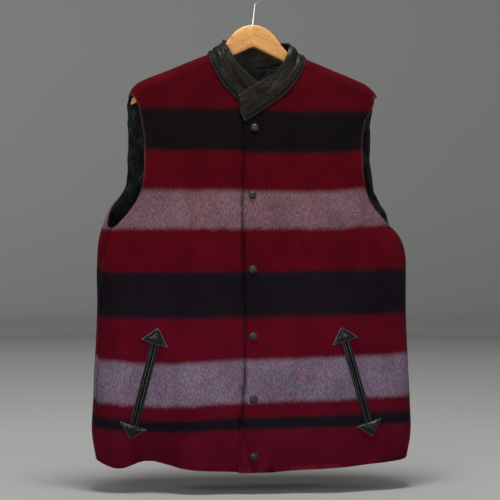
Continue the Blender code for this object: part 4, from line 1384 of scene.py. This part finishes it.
@dataclass
class Pocket:
    """A slanting welt pocket: two rolled lips and a padded triangle at each end."""

    side: str
    lip_levels: int = 2
    tab_levels: int = 3
    stitch_inset: float = 0.0013
    stitches: StitchRow = StitchRow(pitch=0.0030, radius=0.00040)
    swell: float = 0.0012
    groove: float = 0.0004
    edge_wear_and_highlight_width: float = 0.0007

    def build(self, finishes: Finishes) -> list[bpy.types.Object]:
        """The pocket's four leather pieces and the stitches round its triangles."""
        pieces = []
        for part in ("lip_inner", "lip_outer"):
            pieces.append(self._trim(part, self.lip_levels, 0.0002, finishes))
        for part in ("tab_top", "tab_low"):
            tab = self._trim(part, self.tab_levels, 0.0003, finishes)
            node = f"pocket_{self.side}_{part}"
            rows = [
                rim.inset(self.stitch_inset, self.stitches.pitch)
                for rim in PackedCopy(node).rims()
                if rim.normals[:, 1].mean() < -0.3
            ]
            thread = self.stitches.build(f"{node}_stitches", rows, surface_of(tab))
            pieces += [tab, dress(thread, finishes.pale_thread, "leather")]
        return pieces

    def _across(self, part: str, points: Points) -> Points:
        """Where points lie across a lip, from -1 at its far side to 1 at the slit's side."""
        other = "lip_outer" if part == "lip_inner" else "lip_inner"
        slit = corners_of(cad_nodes()[f"pocket_{self.side}_{other}"].data).mean(axis=0)
        middle = points.mean(axis=0)
        across = np.linalg.svd(points - middle, full_matrices=False)[2][1]
        offset = (points - middle) @ (across * np.sign((slit - middle) @ across))
        return offset / np.abs(offset).max()

    def _trim(self, part: str, levels: int, crush: float, finishes: Finishes) -> bpy.types.Object:
        """One leather piece of the pocket."""
        node = f"pocket_{self.side}_{part}"
        packed = PackedCopy(node, levels, sharp=math.radians(48))
        piece = packed.build(f"{node}_leather")
        points = corners_of(piece.data)
        heights = crush * crumple(points, 0.012, 31, Fold.SMOOTH)
        if part.startswith("tab"):
            finish = finishes.trim
            inside = distance_to(points, [rim.points for rim in packed.rims()])
            # A pale line painted round the tab's edge, partly wear and partly painted highlight.
            worn = 0.8 * bump(inside, self.edge_wear_and_highlight_width)
            front = normals_of(piece.data)[:, 1] < -0.2
            swollen = self.swell * ease((inside - self.stitch_inset) / 0.006)
            pressed = self.groove * bump(inside - self.stitch_inset, 0.0006)
            heights = heights + front * (swollen - pressed)
        else:
            finish = finishes.lip
            share = self._across(part, points)
            # Pale lines painted along the lip's slit side and its far edge: painted highlights on
            # the rolled lip, and wear.
            worn = 0.85 * np.maximum(bump(share - 0.32, 0.10), bump(share + 0.72, 0.09))
        mark_corners(piece.data, "edge_wear_and_painted_light", worn)
        push(piece, heights)
        return dress(piece, finish, "leather", node)


@dataclass
class SnapCap:
    """The domed cap of a snap fastener, with a rolled rim round it."""

    number: int
    segments: int = 48
    steps: int = 8
    dome_turn: float = math.radians(78)

    def _profile(self, radius: float, height: float) -> list[tuple[float, float]]:
        """Radius and height of the cap's section, from its top to its underside."""
        dome = radius * 0.80 / math.sin(self.dome_turn)
        rim_middle, rim_radius = radius * 0.90, radius * 0.10
        rim_height = height * 0.36
        section = []
        for step in range(self.steps + 1):
            turn = step / self.steps * self.dome_turn
            section.append((dome * math.sin(turn), height * (0.42 + 0.58 * math.cos(turn))))
        section.append((rim_middle - rim_radius, rim_height * 0.55))
        for step in range(self.steps + 1):
            turn = math.pi * (1 - step / self.steps)
            rise = rim_height * (0.6 + 0.4 * math.sin(turn))
            section.append((rim_middle + rim_radius * math.cos(turn), rise))
        section.append((radius * 0.97, 0.0))
        section.append((0.0, 0.0))
        return section

    def build(self, finishes: Finishes) -> bpy.types.Object:
        """The dressed cap, which stands for the solid of the same name."""
        node = f"snap_{self.number}"
        points = np.unique(corners_of(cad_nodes()[node].data).round(6), axis=0)
        middle = points.mean(axis=0)
        axes = np.linalg.svd(points - middle)[2]
        axis = axes[2] * -np.sign(axes[2][1])
        heights = (points - middle) @ axis
        base = middle + axis * heights.min()
        radius = np.linalg.norm(np.cross(points - base, axis), axis=1).max()
        height = heights.max() - heights.min()
        section = self._profile(radius, height)
        right = unit(np.cross(axis, (0.0, 0.0, 1.0)))
        up = np.cross(right, axis)
        corners, faces = [], []
        for reach, rise in section[1:-1]:
            for step in range(self.segments):
                turn = 2 * math.pi * step / self.segments
                out = math.cos(turn) * right + math.sin(turn) * up
                corners.append(base + axis * rise + out * reach)
        top, under = len(corners), len(corners) + 1
        corners += [base + axis * section[0][1], base]
        for step in range(self.segments):
            following = (step + 1) % self.segments
            faces.append((top, step, following))
            for ring in range(len(section) - 3):
                low = ring * self.segments
                high = low + self.segments
                faces.append((low + step, high + step, high + following, low + following))
            last = (len(section) - 3) * self.segments
            faces.append((under, last + following, last + step))
        mesh = bpy.data.meshes.new(f"{node}_cap")
        mesh.from_pydata([tuple(c) for c in corners], [], faces)
        mesh.shade_smooth()
        mesh.set_sharp_from_angle(angle=math.radians(60))
        turn_outwards(mesh)
        return dress(stand(f"{node}_cap", mesh), finishes.cap, "snap_metal", node)


@dataclass
class Hanger:
    """The wooden body, sawn flat in front and behind, and the steel hook."""

    wood_levels: int = 3
    hook_levels: int = 2
    squareness: float = 0.28
    sharp: float = math.radians(60)

    def _flatten(self, wood: bpy.types.Object) -> None:
        """Brings the front and back of the wood to flat faces within its thickness."""
        points = corners_of(wood.data)
        half = np.abs(points[:, 1]).max()
        share = np.clip(np.abs(points[:, 1]) / half, 0.0, 1.0)
        near_tip = ease((np.abs(points[:, 0]) - 0.185) / 0.02)
        power = self.squareness + (1 - self.squareness) * near_tip
        points[:, 1] = np.sign(points[:, 1]) * half * share**power
        move_corners(wood.data, points)
        wood.data.set_sharp_from_angle(angle=math.radians(42))

    def build(self, finishes: Finishes) -> list[bpy.types.Object]:
        """Both pieces, which stand for the solids of the same names."""
        wood = PackedCopy("hanger_wood", self.wood_levels, sharp=self.sharp).build("hanger_body")
        self._flatten(wood)
        hook = PackedCopy("hanger_hook", self.hook_levels, sharp=self.sharp).build("hanger_wire")
        return [
            dress(wood, finishes.wood, "wood", "hanger_wood"),
            dress(hook, finishes.steel, "steel", "hanger_hook"),
        ]


@dataclass
class Studio:
    """The stage, the lights and the camera."""

    paint: StudioPaint
    bend: float = 0.15
    segments: int = 128
    target: tuple[float, float, float] = (-0.0045, 0.0, -0.486)
    distance: float = 3.0
    azimuth: float = math.radians(-5.5)
    bend_steps: int = 12

    def build(self, finishes: Finishes) -> None:
        """Everything round the object."""
        self._stage(finishes)
        self._lights()
        self._camera()

    def _stage(self, finishes: Finishes) -> None:
        """A round floor that curves up into a wall."""
        floor, far = self.paint.floor_z, self.paint.far
        section = [(0.0, floor), (0.4, floor), (1.2, floor), (2.4, floor), (far - self.bend, floor)]
        for step in range(1, self.bend_steps + 1):
            turn = step / self.bend_steps * math.pi / 2
            reach = far - self.bend + self.bend * math.sin(turn)
            section.append((reach, floor + self.bend * (1 - math.cos(turn))))
        section.append((far, floor + self.paint.wall_top))
        corners = [(0.0, 0.0, floor)]
        faces = []
        for reach, rise in section[1:]:
            for step in range(self.segments):
                turn = 2 * math.pi * step / self.segments
                corners.append((reach * math.cos(turn), reach * math.sin(turn), rise))
        for step in range(self.segments):
            following = (step + 1) % self.segments
            faces.append((0, 1 + step, 1 + following))
            for ring in range(len(section) - 2):
                low = 1 + ring * self.segments
                high = low + self.segments
                faces.append((low + step, high + step, high + following, low + following))
        mesh = bpy.data.meshes.new("studio_stage")
        mesh.from_pydata(corners, [], faces)
        mesh.shade_smooth()
        mesh.materials.append(finishes.stage)
        stand("studio_stage", mesh)

    def _light(
        self,
        name: str,
        place: tuple[float, float, float],
        aim: tuple[float, float, float],
        size: tuple[float, float],
        power: float,
        spread: float = 180.0,
    ) -> None:
        """One soft rectangular light, which may be narrowed to a spread in degrees."""
        lamp = bpy.data.lights.new(name, "AREA")
        lamp.shape = "RECTANGLE"
        lamp.size, lamp.size_y = size
        lamp.energy = power
        lamp.spread = math.radians(spread)
        holder = stand(name, lamp)
        holder.location = place
        holder.visible_camera = False
        direction = Vector(aim) - Vector(place)
        holder.rotation_mode = "QUATERNION"
        holder.rotation_quaternion = direction.to_track_quat("-Z", "Y")

    def _lights(self) -> None:
        """An overhead light, a key and a fill in front, one from behind, and the air."""
        self._light("overhead", (0.0, -0.50, 1.7), (0.0, 0.0, -0.6), (0.8, 0.5), 52.0)
        self._light("front_key", (-1.5, -2.8, 0.5), (0.0, 0.0, -0.45), (1.6, 1.6), 30.0)
        self._light("front_fill", (1.9, -2.4, 0.0), (0.0, 0.0, -0.5), (1.4, 1.4), 15.0)
        self._light("back_light", (0.0, 2.6, -0.55), (0.0, 0.0, -0.05), (0.8, 0.5), 2.2, 32.0)
        world = bpy.data.worlds.new("studio_air")
        world.use_nodes = True
        air = world.node_tree.nodes["Background"]
        air.inputs["Color"].default_value = (0.5, 0.5, 0.5, 1.0)
        air.inputs["Strength"].default_value = 0.6
        bpy.context.scene.world = world
        bpy.context.scene.view_settings.view_transform = "Standard"

    def _camera(self) -> None:
        """The camera at the photograph's viewing angle."""
        lens = bpy.data.cameras.new("photo_camera")
        lens.sensor_width = 36.0
        lens.lens = 120.0
        lens.clip_start = 0.05
        camera = stand("photo_camera", lens)
        away = Vector((math.sin(self.azimuth), -math.cos(self.azimuth), 0.0))
        camera.location = Vector(self.target) + away * self.distance
        camera.rotation_mode = "QUATERNION"
        camera.rotation_quaternion = (-away).to_track_quat("-Z", "Y")
        bpy.context.scene.camera = camera


def main() -> None:
    """Builds the stage, the vest and the hanger. Each piece is reported as it is dressed."""
    finishes = Finishes(Effects())
    Studio(StudioPaint()).build(finishes)
    for panel in (
        WoolPanel(Panel.BACK, (0.62, 0.74), 0.400),
        WoolPanel(Panel.FRONT_LEFT, (0.33, 0.74), 0.197),
        WoolPanel(Panel.FRONT_RIGHT, (0.32, 0.74), 0.194),
    ):
        panel.build(finishes)
    for lining in (
        Lining("lining_back", (0.61, 0.70), 0.3645),
        Lining("lining_front_left", (0.27, 0.68), 0.113),
        Lining("lining_front_right", (0.27, 0.68), 0.115),
    ):
        lining.build(finishes)
    Collar().build(finishes)
    for side in ("left", "right"):
        Pocket(side).build(finishes)
    for number in range(1, 7):
        SnapCap(number).build(finishes)
    Hanger().build(finishes)


if __name__ == "__main__":
    logging.basicConfig(level=logging.INFO, format="%(message)s")
    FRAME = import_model()
    main()
